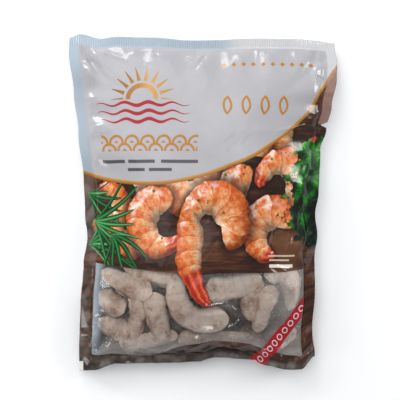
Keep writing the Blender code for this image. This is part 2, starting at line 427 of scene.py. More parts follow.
@dataclass(frozen=True)
class Prawn:
    """One headless prawn: girth and depth below the film in metres, and its curve on the print."""

    name: str
    girth: float
    depth: float
    head: Spot
    back: Spot
    tail: Spot
    # Tone 0, the default, is the near-black painted shade of the layer below.
    tone: int = 0

    def spine(self, way: np.ndarray) -> np.ndarray:
        """Points along its middle at shares of the way, in millimetres on the print.

        Args:
            way: shares of the way from the cut head end to the tail.

        Returns:
            One point in each row.
        """
        way = way[:, None]
        head, back, tail = (np.array(spot) for spot in (self.head, self.back, self.tail))
        pull = 2 * back - (head + tail) / 2
        return head * (1 - way) ** 2 + pull * 2 * way * (1 - way) + tail * way ** 2


SHOWN_PRAWNS = (
    Prawn("curl_top_left", 0.0235, 0.0000, (78, 73), (50, 80.5), (21, 94), 3),
    Prawn("curl_top", 0.0220, 0.0030, (105, 88), (76, 91), (44, 101), 2),
    Prawn("stub_left", 0.0245, 0.0004, (48, 53), (34, 63), (20, 74), 3),
    Prawn("upright_left", 0.0185, 0.0040, (62, 72), (62, 49), (57, 26), 1),
    Prawn("stub_low_left", 0.0235, 0.0036, (54, 32), (37, 38), (18, 46), 2),
    Prawn("upright_middle", 0.0230, 0.0016, (81, 74), (83, 50), (94, 23), 2),
    Prawn("bottom_left", 0.0195, 0.0046, (43, 21), (72, 25), (106, 30), 2),
    Prawn("big_curl", 0.0250, 0.0000, (159, 47), (115, 51), (101, 91), 3),
    Prawn("curl_middle", 0.0250, 0.0003, (132, 74), (164, 78), (191, 89), 3),
    Prawn("curl_right", 0.0190, 0.0000, (204, 80), (195, 57), (190, 33), 2),
    Prawn("curl_far_right", 0.0235, 0.0010, (194, 89), (220, 88), (223, 57), 3),
    Prawn("stub_low_right", 0.0195, 0.0026, (206, 25), (221, 31), (232, 39), 2),
    Prawn("bottom_middle", 0.0185, 0.0046, (106, 24), (145, 25), (186, 24), 1),
    Prawn("brown_right", 0.0200, 0.0040, (192, 86), (180, 67), (184, 44), 1),
)


@dataclass
class FilmSkin:
    """The printed film: front and back in one skin, with every fold that shows."""

    form: PouchForm
    columns: int = 250
    rows: int = 314
    window_edges: tuple[float, float, float, float] = (12, 240, 10, 100)
    window_sag: float = 0.0020
    prawn_room: float = 0.0001
    grain_height: float = 0.00018
    fine_grain_height: float = 0.00010
    back_crumple: float = 0.0010
    side_puckers: int = 46
    end_puckers: int = 44
    seed: int = 11
    creases: tuple[Crease, ...] = (
        Crease((3, 312), (34, 268), -0.0022, 3.2),
        Crease((20, 306), (58, 288), 0.0018, 2.6),
        Crease((14, 300), (24, 250), 0.0015, 3.0),
        Crease((100, 303), (128, 286), 0.0012, 2.0),
        Crease((132, 303), (116, 282), -0.0010, 1.8),
        Crease((78, 303), (92, 292), 0.0010, 1.6),
        Crease((240, 300), (236, 240), -0.0026, 3.0),
        Crease((247, 285), (240, 228), 0.0020, 2.2),
        Crease((232, 300), (228, 262), 0.0016, 2.4),
        Crease((240, 232), (196, 222), 0.0014, 2.2),
        Crease((243, 180), (228, 128), -0.0018, 2.4),
        Crease((232, 176), (238, 116), 0.0018, 1.8),
        Crease((205, 148), (192, 98), 0.0016, 1.6),
        Crease((222, 140), (208, 96), -0.0014, 1.8),
        Crease((12, 190), (15, 100), 0.0018, 2.6),
        Crease((4, 150), (16, 118), -0.0014, 2.0),
        Crease((2, 84), (17, 36), 0.0024, 2.4),
        Crease((1, 60), (14, 70), -0.0018, 2.2),
        Crease((3, 30), (24, 12), 0.0022, 2.4),
        Crease((16, 40), (44, 8), -0.0016, 2.0),
        Crease((20, 30), (92, 14), 0.0014, 1.8),
        Crease((84, 10), (128, 38), 0.0020, 2.2),
        Crease((96, 8), (150, 30), -0.0018, 2.4),
        Crease((120, 20), (186, 26), 0.0018, 2.0),
        Crease((150, 8), (206, 26), 0.0020, 2.4),
        Crease((182, 12), (190, 46), -0.0012, 1.8),
        Crease((196, 8), (238, 34), 0.0022, 2.4),
        Crease((212, 4), (246, 14), -0.0024, 2.6),
        Crease((236, 92), (242, 24), 0.0020, 2.2),
        Crease((196, 42), (226, 62), 0.0012, 1.6),
        Crease((198, 97), (216, 82), 0.0013, 1.5),
        Crease((206, 99), (229, 90), 0.0012, 1.4),
        Crease((212, 86), (234, 72), 0.0013, 1.5),
        Crease((220, 98), (226, 68), 0.0012, 1.4),
        Crease((194, 74), (212, 60), 0.0011, 1.4),
        Crease((230, 64), (235, 92), 0.0014, 1.6),
        Crease((150, 60), (178, 52), 0.0010, 1.4),
        Crease((156, 66), (172, 40), 0.0010, 1.4),
        Crease((108, 42), (74, 14), 0.0011, 1.4),
        Crease((114, 40), (92, 14), 0.0010, 1.3),
        Crease((122, 38), (150, 24), 0.0011, 1.4),
        Crease((118, 33), (196, 30), 0.0012, 1.4),
        Crease((2, 96), (13, 66), 0.0026, 2.6),
        Crease((3, 52), (12, 26), 0.0022, 2.2),
        Crease((52, 16), (96, 8), 0.0018, 1.8),
        Crease((112, 14), (140, 24), 0.0018, 1.8),
        Crease((150, 18), (176, 8), 0.0018, 1.8),
    )

    def prawn_cover(self, u: np.ndarray, v: np.ndarray) -> np.ndarray:
        """How far points lie outside the nearest prawn that shows, in millimetres.

        Args:
            u: millimetres across the print.
            v: millimetres up it.

        Returns:
            The distances, below 0 over a prawn.
        """
        nearest = np.full(u.shape, 60.0)
        for prawn in SHOWN_PRAWNS:
            # A little less than half the girth, in millimetres.
            reach = prawn.girth * 420
            for x, y in prawn.spine(np.linspace(0, 1, 12)):
                nearest = np.minimum(nearest, np.hypot(u - x, v - y) - reach)
        return nearest

    def puckers(self) -> list[Crease]:
        """Short folds that run in from the seals, where the flat film has to take up the swell.

        Returns:
            The folds, the same ones in every run.
        """
        draw = np.random.default_rng(self.seed)
        found = []
        for _ in range(self.side_puckers):
            place, reach = draw.uniform(14, 300), draw.uniform(12, 34)
            lean, height = draw.uniform(-9, 9), draw.choice((-1, 1)) * draw.uniform(0.0004, 0.0013)
            side = draw.choice((0, 1))
            start, end = ((7, place), (7 + reach, place + lean))
            if side:
                start, end = ((FILM_WIDE - start[0], start[1]), (FILM_WIDE - end[0], end[1]))
            found.append(Crease(start, end, height, draw.uniform(1.1, 2.2), True))
        for _ in range(self.end_puckers):
            place, reach = draw.uniform(12, 238), draw.uniform(10, 30)
            lean, height = draw.uniform(-8, 8), draw.choice((-1, 1)) * draw.uniform(0.0004, 0.0012)
            start, end = ((place, 7), (place + lean, 7 + reach))
            if draw.choice((0, 1)):
                start, end = ((start[0], FILM_HIGH - start[1]), (end[0], FILM_HIGH - end[1]))
            found.append(Crease(start, end, height, draw.uniform(1.1, 2.2), True))
        return found

    def crumple(self, u: np.ndarray, v: np.ndarray, phase: float) -> np.ndarray:
        """Flat facets with sharp edges between them, as stiff film crumples.

        Args:
            u: millimetres across the print.
            v: millimetres up it.
            phase: which crumple, a number of its own for each film.

        Returns:
            What it adds to the film's height, in metres.
        """
        warp = 0.35 * cloud(u / 38, v / 38, phase)
        waves = ((31, 0.3, 0.9), (23, 1.9, 0.7), (17, 2.6, 0.55), (12, 1.2, 0.38), (8.5, 0.8, 0.22))
        total = 0
        for length, turn, height in waves:
            place = (u * math.cos(turn) + v * math.sin(turn)) / length + warp + phase * turn
            total = total + height * (2 * np.abs(place - np.floor(place) - 0.5) - 0.5)
        return total * 0.001

    def crumple_share(self, u: np.ndarray, v: np.ndarray) -> np.ndarray:
        """Where the film is crumpled: along the bottom, beside the window and at the right.

        Args:
            u: millimetres across the print.
            v: millimetres up it.

        Returns:
            How strongly the film is crumpled there.
        """
        bottom = 2.1 * np.exp(-((v / 14) ** 2))
        left = 1.9 * np.exp(-((u / 13) ** 2)) * ramp((190 - v) / 60)
        right = 0.9 * np.exp(-(((FILM_WIDE - u) / 13) ** 2))
        return np.clip(bottom + left + right, 0, 2.1) + 0.08

    def heights(self, across: np.ndarray, up: np.ndarray) -> tuple[np.ndarray, np.ndarray]:
        """The front and back film's heights with every fold.

        Args:
            across: shares of the way across the flat film.
            up: shares of the way up it.

        Returns:
            The front heights and the back heights.
        """
        u, v = across * FILM_WIDE, up * FILM_HIGH
        form = self.form
        # Folds, which stop at the seals.
        nearest = np.minimum.reduce(form.gaps(across, up)) * 1000
        free = ramp(nearest / 5)
        folds = sum((crease.relief(u, v) for crease in (*self.creases, *self.puckers())), np.zeros_like(u))
        # Over the window the film sinks between the prawns.
        left, right, low, high = self.window_edges
        inside_window = ramp((v - low) / 12) * ramp((high - v) / 10)
        inside_window = inside_window * ramp((u - left) / 10) * ramp((right - u) / 10)
        sag = self.window_sag * ramp(self.prawn_cover(u, v) / 9 + 0.15) * inside_window
        # Crumples and fine grain.
        rumple = self.crumple(u, v, 1.7) * self.crumple_share(u, v)
        grain = self.grain_height * cloud(u / 9, v / 9, 6.0)
        grain = grain + self.fine_grain_height * cloud(u / 4, v / 4, 8.0)
        smooth = form.front(across, up)
        front = smooth + (folds - sag) * free + rumple + grain * free
        # Over the window it never sinks below where it rests on the prawns.
        resting = smooth - sag - self.prawn_room
        front = np.maximum(front, resting + (front - resting) * (1 - inside_window))
        # The back film, which never goes below the table.
        back = form.back(across, up)
        lifted = self.back_crumple * np.abs(self.crumple(u, v, 4.1)) * free * (back > 0)
        back = np.maximum(back + rumple * (1 - ramp(nearest / 9)) + lifted, 0)
        return np.maximum(front, back + form.seal_thickness), back

    def build(self) -> bpy.types.Object:
        """Builds the closed skin.

        Returns:
            The film, with its front faces on the first material slot and its back on the second.
        """
        across, up = np.meshgrid(np.linspace(0, 1, self.columns + 1), np.linspace(0, 1, self.rows + 1))
        x, y = self.form.plan(across, up)
        front, back = self.heights(across, up)
        wide, high = self.columns + 1, self.rows + 1
        # Front and back faces, joined round the rim.
        count = wide * high
        points = [np.stack([x, y, z], axis=-1).reshape(-1, 3) for z in (front, back)]
        index = np.arange(count).reshape(high, wide)
        corners = [index[:-1, :-1], index[:-1, 1:], index[1:, 1:], index[1:, :-1]]
        quads = np.stack(corners, axis=-1).reshape(-1, 4)
        rim = np.concatenate([index[0, :-1], index[:-1, -1], index[-1, :0:-1], index[:0:-1, 0]])
        following = np.roll(rim, -1)
        edge = np.stack([rim, rim + count, following + count, following], axis=-1)
        faces = np.concatenate([quads, quads[:, ::-1] + count, edge])
        flat = np.stack([across * FILM_WIDE, up * FILM_HIGH], axis=-1).reshape(-1, 2)
        flat = np.concatenate([flat, flat])
        film = add_mesh("printed_film", np.concatenate(points).tolist(), faces.tolist(), flat, "flat_film")
        slots = np.zeros(len(faces), dtype=np.int32)
        slots[len(quads):2 * len(quads)] = 1
        film.data.polygons.foreach_set("material_index", slots)
        return film


class Tone(Enum):
    """How dark a prawn's shell is under its glaze; the deepest is painted shade for what lies below."""

    # Painted shade: near black, for the layer and the bed that lie below.
    DEEP = ("#211a16", "#372c26", "#50423a")
    DARK = ("#9b7963", "#d9baa4", "#f6e1d1")
    MIDDLE = ("#b89178", "#f4d9c5", "#fff0e2")
    LIGHT = ("#d2a98f", "#fde6d4", "#fff4e8")


@dataclass(frozen=True)
class GlazedShell:
    """Raw prawn shell, grown in plates, frozen under a thin frosted ice glaze.

    The shell is grey-brown and a little see-through, darker where two plates overlap, and the glaze gives it
    a soft milky bloom, a thin wet coat and painted white glints. Painted shade makes it darker and browner
    down its flanks, where the next prawn would shade it.
    """

    tone: Tone
    frost: str = "#fceadf"
    band: str = "#8a7262"
    # Painted shade down the flanks.
    painted_flank_shade: str = "#6b5545"
    blush: str = "#a27757"
    # Real frost is finer than half a millimetre, and its grit and the painted glints
    # are drawn as coarse as they need to show.
    grit_mm: float = 1.1
    glint_spacing_mm: float = 1.5
    # How strongly the painted glints whiten the shell.
    glint_strength: float = 0.8

    def make(self) -> bpy.types.Material:
        """Builds the material. Its UV map counts plates along the body and turns round it.

        Returns:
            The material.
        """
        material, tree, out = new_material(f"glazed prawn shell {self.tone.name.lower()}")
        dark, middle, light = self.tone.value
        plates = add_node(tree, "ShaderNodeUVMap", uv_map="plates")
        parts = add_node(tree, "ShaderNodeSeparateXYZ", plates)
        place = add_node(tree, "ShaderNodeTexCoord").outputs["Object"]
        # Scales count patches to the metre: mottle is about 11 mm across, blush 24 mm and bloom 3 mm.
        mottle = add_node(tree, NOISE, place, Scale=95.0, Detail=6.0, Roughness=0.68)
        shell = add_node(tree, RAMP, mottle, stops=((0.35, dark), (0.47, middle), (0.62, light)))
        # A darker band where two plates overlap.
        along = add_node(tree, MATH, parts.outputs["X"], operation="FRACT")
        edge = add_node(tree, MATH, along, 0.93, operation="SUBTRACT")
        edge = add_node(tree, MATH, edge, operation="ABSOLUTE")
        edge = add_node(tree, RANGE, edge, 0.0, 0.16, 0.16, 0.0, interpolation_type="SMOOTHSTEP")
        banded = add_node(tree, MIX, edge, shell, self.band, data_type="RGBA")
        # A brown blush in patches.
        warm = add_node(tree, NOISE, place, Scale=42.0, Detail=2.0)
        warm = add_node(tree, RANGE, warm, 0.48, 0.70, 0.0, 0.85, interpolation_type="SMOOTHSTEP")
        blushed = add_node(tree, MIX, warm, banded, self.blush, data_type="RGBA")
        # Milky frost.
        bloom = add_node(tree, NOISE, place, Scale=320.0, Detail=5.0, Roughness=0.72)
        # The painted shade tone gets little frost, so that it stays dark.
        amount = 0.10 if self.tone is Tone.DEEP else 0.62
        bloom = add_node(tree, RANGE, bloom, 0.40, 0.70, 0.04, amount, interpolation_type="SMOOTHSTEP")
        frosted = add_node(tree, MIX, bloom, blushed, self.frost, data_type="RGBA")
        # Painted shade: darker, browner flanks where the surface turns from up, as if the next prawn shaded
        # them.
        upright = add_node(tree, "ShaderNodeNewGeometry").outputs["Normal"]
        upright = add_node(tree, "ShaderNodeSeparateXYZ", upright).outputs["Z"]
        painted_flank_shade = add_node(tree, RANGE, upright, 0.70, 0.06, 0.0, 0.85, interpolation_type="SMOOTHSTEP")
        frosted = add_node(tree, MIX, painted_flank_shade, frosted, self.painted_flank_shade, data_type="RGBA")
        # Painted highlights: a few white glints, as ice crystals catch the light.
        glint_cells = add_node(tree, "ShaderNodeTexVoronoi", place, Scale=1000.0 / self.glint_spacing_mm)
        chance = add_node(tree, "ShaderNodeSeparateXYZ", glint_cells.outputs["Color"]).outputs["X"]
        rare = add_node(tree, MATH, chance, 0.94, operation="GREATER_THAN")
        painted_glint = add_node(tree, RANGE, glint_cells.outputs["Distance"], 0.42, 0.20, 0.0, self.glint_strength)
        painted_glint = add_node(tree, MATH, painted_glint, rare, operation="MULTIPLY")
        frosted = add_node(tree, MIX, painted_glint, frosted, "#ffffff", data_type="RGBA")
        # Gritty ice with a thin wet coat.
        grit = add_node(tree, NOISE, place, Scale=1000.0 / self.grit_mm, Detail=3.0)
        bump = add_node(tree, "ShaderNodeBump", Strength=0.6, Distance=0.0008, Height=grit)
        rough = add_node(tree, RANGE, bloom, 0.0, 0.8, 0.42, 0.7)
        shader = add_node(
            tree, "ShaderNodeBsdfPrincipled", Base_Color=frosted, Roughness=rough, IOR=1.38,
            Subsurface_Weight=0.12, Subsurface_Scale=0.004, Coat_Weight=0.12, Coat_Roughness=0.3, Normal=bump,
        )
        shader.inputs["Subsurface Radius"].default_value = (1.0, 0.7, 0.55)
        tree.links.new(shader.outputs[0], out.inputs[0])
        return material


@dataclass
class PrawnBed:
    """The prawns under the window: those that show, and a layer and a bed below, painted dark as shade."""

    form: PouchForm
    rings: int = 60
    sides: int = 24
    plates: int = 6
    film_gap: float = 0.0019
    front_room: float = 0.0023
    back_room: float = 0.0034
    least_height: float = 0.0004
    flatness: float = 0.92
    cap_bulge: float = 0.35
    flap: float = 0.06
    lumps: float = 0.17
    fine_lumps: float = 0.045
    seed: int = 5
    deep_count: int = 22
    deep_girth: float = 0.019
    deep_drop: float = 0.0105
    deep_corners: tuple[Spot, Spot] = ((27, 25), (221, 98))
    bed_depth: float = 0.019
    bed_room: float = 0.004
    bed_lumps: float = 0.003
    bed_thickness: float = 0.0008
    shells: dict[Tone, bpy.types.Material] = field(default_factory=dict)

    def film_over(self, spine: np.ndarray) -> tuple[np.ndarray, np.ndarray, np.ndarray, np.ndarray]:
        """The plan place of points under the film, with the front and back film's heights there.

        Args:
            spine: points on the print.

        Returns:
            X, Y, the front film's height and the back film's.
        """
        across, up = spine[:, 0] / FILM_WIDE, spine[:, 1] / FILM_HIGH
        x, y = self.form.plan(across, up)
        return x, y, self.form.front(across, up), self.form.back(across, up)

    def slope_over(self, spine: np.ndarray) -> np.ndarray:
        """How steeply the front film slopes over points of a prawn's middle line.

        Args:
            spine: points on the print.

        Returns:
            The slope as rise over run.
        """
        across, up = spine[:, 0] / FILM_WIDE, spine[:, 1] / FILM_HIGH
        step = 0.012
        rise_across = self.form.front(across + step, up) - self.form.front(across - step, up)
        rise_up = self.form.front(across, up + step) - self.form.front(across, up - step)
        return np.hypot(rise_across / self.form.width, rise_up / self.form.length) / (2 * step)

    def held(self, points: list[tuple[float, float, float]]) -> list[tuple[float, float, float]]:
        """Presses points that would come through the film back between its front and back.

        Args:
            points: a prawn's vertices.

        Returns:
            The vertices, each between the films.
        """
        places = np.array(points)
        across, up = self.form.shares_at(places[:, 0], places[:, 1])
        lowest = self.form.back(across, up) + self.back_room
        highest = self.form.front(across, up) - self.front_room
        places[:, 2] = np.clip(places[:, 2], np.minimum(lowest, highest - self.least_height), highest)
        return [tuple(place) for place in places.tolist()]

    def girth_along(self, way: np.ndarray, round_share: float) -> np.ndarray:
        """How thick the tail is along it, as a share of its girth.

        Args:
            way: shares of the way from the cut head end to the tail.
            round_share: how much of the way the head end takes to round off.

        Returns:
            The thickness: full and rounded at the head end, stepped at each plate, slimmer at the tail.
        """
        body = 1 - 0.34 * way ** 2.2
        head, tail = np.clip(way / round_share, 0, 1), np.clip((1 - way) / (0.8 * round_share), 0, 1)
        ends = (1 - (1 - head) ** 2.8) ** 0.62 * np.sqrt(tail * (2 - tail))
        place = way * self.plates
        within = place - np.floor(place)
        return np.maximum(body * ends, 0.05) * (1 + 0.065 * (within ** 1.5 - 0.5) * (way < 0.98))

    def build_prawn(self, prawn: Prawn, drop: float = 0.0) -> bpy.types.Object:
        """Builds one prawn, lying on its side under the film.

        Args:
            prawn: its sizes and curve.
            drop: how much further down it lies, for the layer below.

        Returns:
            The prawn as one mesh.
        """
        # The middle line, with its rings closer together at the ends.
        way = np.linspace(0, 1, self.rings + 1)
        way = 0.5 * way + 0.25 * (1 - np.cos(math.pi * way))
        spine = prawn.spine(way)
        x, y, front, back = self.film_over(spine)
        length = np.sum(np.hypot(np.diff(x), np.diff(y)))
        # How wide and tall each ring is, and how low it lies to clear the film.
        girth = self.girth_along(way, min(0.42, prawn.girth * 0.52 / length))
        flat = prawn.girth / 2 * girth
        room = (front - back - drop) / 2 - self.film_gap
        tall = np.clip(np.minimum(flat * self.flatness, room), 0.002, None)
        below = np.hypot(tall, flat * self.slope_over(spine))
        middle = np.maximum(front - self.film_gap - prawn.depth - drop - below, back + tall)
        # Which way the back of the curve points.
        heading = np.stack([np.gradient(x), np.gradient(y)], axis=-1)
        heading /= np.linalg.norm(heading, axis=1, keepdims=True)
        across_body = np.stack([heading[:, 1], -heading[:, 0]], axis=-1)
        chord, bow = spine[-1] - spine[0], spine[len(spine) // 2] - spine[0]
        outward = across_body * (-1 if chord[0] * bow[1] > chord[1] * bow[0] else 1)
        draw = np.random.default_rng(name_number(prawn.name))
        shift = draw.uniform(0, 50)
        # Rings with soft lumps, and a belly that bulges under each plate.
        angles = np.linspace(0, 2 * math.pi, self.sides, endpoint=False)
        points, uvs = [], []
        for ring in range(self.rings + 1):
            for angle in angles:
                out, rise = math.cos(angle), math.sin(angle)
                belly = max(0.0, -out)
                within = (way[ring] * self.plates) % 1.0
                flap = 1 + self.flap * belly ** 2 * math.sin(math.pi * within) - self.flap * belly ** 4
                lump = 1 + self.lumps * noise.noise(Vector((way[ring] * 4 + shift, out * 1.3, rise * 1.3)))
                lump += self.fine_lumps * noise.noise(Vector((way[ring] * 11 + shift, out * 3, rise * 3)))
                size = flap * lump
                points.append((
                    x[ring] + outward[ring][0] * out * flat[ring] * size,
                    y[ring] + outward[ring][1] * out * flat[ring] * size,
                    middle[ring] + rise * tall[ring] * min(size, 1.05),
                ))
                uvs.append((way[ring] * self.plates, angle / (2 * math.pi)))
        # The skin between rings, and a rounded cap at each end.
        faces = []
        for ring in range(self.rings):
            for side in range(self.sides):
                following = (side + 1) % self.sides
                low, high = ring * self.sides, (ring + 1) * self.sides
                faces.append((low + side, low + following, high + following, high + side))
        for ring, order in ((0, -1), (self.rings, 1)):
            cap = [ring * self.sides + side for side in range(self.sides)][::order]
            centre = len(points)
            bulge = -1 if ring == 0 else 1
            points.append((
                x[ring] + bulge * heading[ring][0] * flat[ring] * self.cap_bulge,
                y[ring] + bulge * heading[ring][1] * flat[ring] * self.cap_bulge,
                middle[ring],
            ))
            uvs.append((way[ring] * self.plates, 0.5))
            faces += [(cap[i], cap[(i + 1) % self.sides], centre) for i in range(self.sides)]
        # The piece in its shell.
        body = add_mesh(prawn.name, self.held(points), faces, np.array(uvs), "plates")
        body.data.materials.append(self.shells[list(Tone)[prawn.tone]])
        shape = bmesh.new()
        shape.from_mesh(body.data)
        bmesh.ops.recalc_face_normals(shape, faces=shape.faces)
        shape.to_mesh(body.data)
        shape.free()
        return body

    def deep_prawns(self) -> list[Prawn]:
        """A second layer in the gaps of the first, thrown in at random but packed.

        Returns:
            Their sizes and curves.
        """
        draw = np.random.default_rng(self.seed)
        found = []
        for number in range(self.deep_count):
            column, row = number % 8, number // 8
            centre = np.array((32 + column * 27 + draw.uniform(-6, 6), 29 + row * 29 + draw.uniform(-6, 6)))
            turn = draw.uniform(0, 2 * math.pi)
            half = np.array((math.cos(turn), math.sin(turn))) * draw.uniform(17, 22)
            bow = np.array((-half[1], half[0])) * draw.uniform(0.3, 0.6)
            spots = [centre - half - bow, centre + bow, centre + half - bow]
            spots = [tuple(np.clip(spot, *self.deep_corners)) for spot in spots]
            found.append(Prawn(f"deep_prawn_{number + 1}", self.deep_girth, 0.0, *spots))
        return found

    def build_bed(self) -> bpy.types.Object:
        """The lumpy bed of packed prawns below the second layer, painted near black as shade.

        Returns:
            The bed as one piece.
        """
        across, up = np.meshgrid(np.linspace(0.067, 0.945, 90), np.linspace(0.050, 0.3425, 38))
        x, y = self.form.plan(across, up)
        front, back = self.form.front(across, up), self.form.back(across, up)
        lumps = self.bed_lumps * cloud(across * 22, up * 28, 2.2)
        level = np.clip(front - self.bed_depth + lumps, back + self.back_room, front - self.bed_room)
        wide, high = across.shape[1], across.shape[0]
        index = np.arange(wide * high).reshape(high, wide)
        corners = [index[:-1, :-1], index[:-1, 1:], index[1:, 1:], index[1:, :-1]]
        quads = np.stack(corners, axis=-1).reshape(-1, 4)
        points = np.stack([x, y, level], axis=-1).reshape(-1, 3)
        uvs = np.stack([across * 40, up * 40], axis=-1).reshape(-1, 2)
        bed = add_mesh("packed_bed", points.tolist(), quads.tolist(), uvs, "plates")
        thick = bed.modifiers.new("Thickness", "SOLIDIFY")
        thick.thickness = self.bed_thickness
        thick.offset = -1
        # Painted shade: the bed takes the near-black deep shell.
        bed.data.materials.append(self.shells[Tone.DEEP])
        return bed

    def build(self) -> list[bpy.types.Object]:
        """Builds every prawn and the bed.

        Returns:
            The pieces.
        """
        self.shells = {tone: GlazedShell(tone).make() for tone in Tone}
        pieces = [self.build_prawn(prawn) for prawn in SHOWN_PRAWNS]
        # The layer below takes tone 0, the near-black painted shade.
        pieces += [self.build_prawn(prawn, self.deep_drop) for prawn in self.deep_prawns()]
        pieces.append(self.build_bed())
        return pieces


def name_number(name: str) -> int:
    """A steady number from a name, the same in every run."""
    return sum(ord(letter) * 31 ** (place % 5) for place, letter in enumerate(name))


@dataclass
class Ink:
    """The print as far as it is laid: one colour over the flat film, which each further shape goes over."""

    tree: bpy.types.NodeTree
    point: bpy.types.NodeSocket
    u: bpy.types.NodeSocket
    v: bpy.types.NodeSocket
    colour: bpy.types.Node

    def lay(self, mask: object, shade: object) -> None:
        """Prints a shade where the mask is 1."""
        self.colour = add_node(self.tree, MIX, mask, self.colour, shade, data_type="RGBA")

    def press(self, group: bpy.types.NodeTree, point: object, **given: object) -> bpy.types.Node:
        """Prints one shape of a group, with its shadow where it has one.

        Cycles holds half-finished shapes on a small stack, so each shape's point waits for the one before.

        Args:
            group: the shape's node group.
            point: the flat point that the shape is drawn at.
            given: the group's inputs.

        Returns:
            The point for the next shape, the same place to within a billionth of a millimetre.
        """
        shape = add_node(self.tree, GROUP, node_tree=group, Point=point, **given)
        if "Shadow" in shape.outputs:
            self.lay(shape.outputs["Shadow"], "#140805")
        self.lay(shape.outputs["Mask"], shape.outputs["Shade"])
        wait = add_node(self.tree, MATH, shape.outputs["Mask"], 1e-9, operation="MULTIPLY")
        return add_node(self.tree, VECTOR_MATH, point, wait, operation="ADD")


def open_group(
    name: str, places: tuple[str, ...], numbers: tuple[str, ...], masks: tuple[str, ...],
) -> tuple[bpy.types.NodeTree, dict[str, bpy.types.NodeSocket], bpy.types.Node]:
    """Makes an empty group for one printed shape.

    Args:
        name: the group's name.
        places: its inputs that are places.
        numbers: its inputs that are numbers.
        masks: its outputs that are numbers, beside the shade.

    Returns:
        The group, its inputs by name and its output node.
    """
    tree = bpy.data.node_groups.new(name, "ShaderNodeTree")
    kinds = [(label, "NodeSocketVector") for label in places]
    kinds += [(label, "NodeSocketFloat") for label in numbers]
    for label, kind in kinds:
        tree.interface.new_socket(label, in_out="INPUT", socket_type=kind)
    tree.interface.new_socket("Shade", in_out="OUTPUT", socket_type="NodeSocketColor")
    for label in masks:
        tree.interface.new_socket(label, in_out="OUTPUT", socket_type="NodeSocketFloat")
    entry = tree.nodes.new("NodeGroupInput")
    return tree, {label: entry.outputs[label] for label, _ in kinds}, tree.nodes.new("NodeGroupOutput")


def close_group(
    tree: bpy.types.NodeTree, out: bpy.types.Node, **results: bpy.types.Node
) -> bpy.types.NodeTree:
    """Links a group's results to its outputs.

    Args:
        tree: the group.
        out: its output node.
        results: what feeds each output.

    Returns:
        The group.
    """
    for label, node in results.items():
        tree.links.new(next(socket for socket in node.outputs if socket.enabled), out.inputs[label])
    return tree


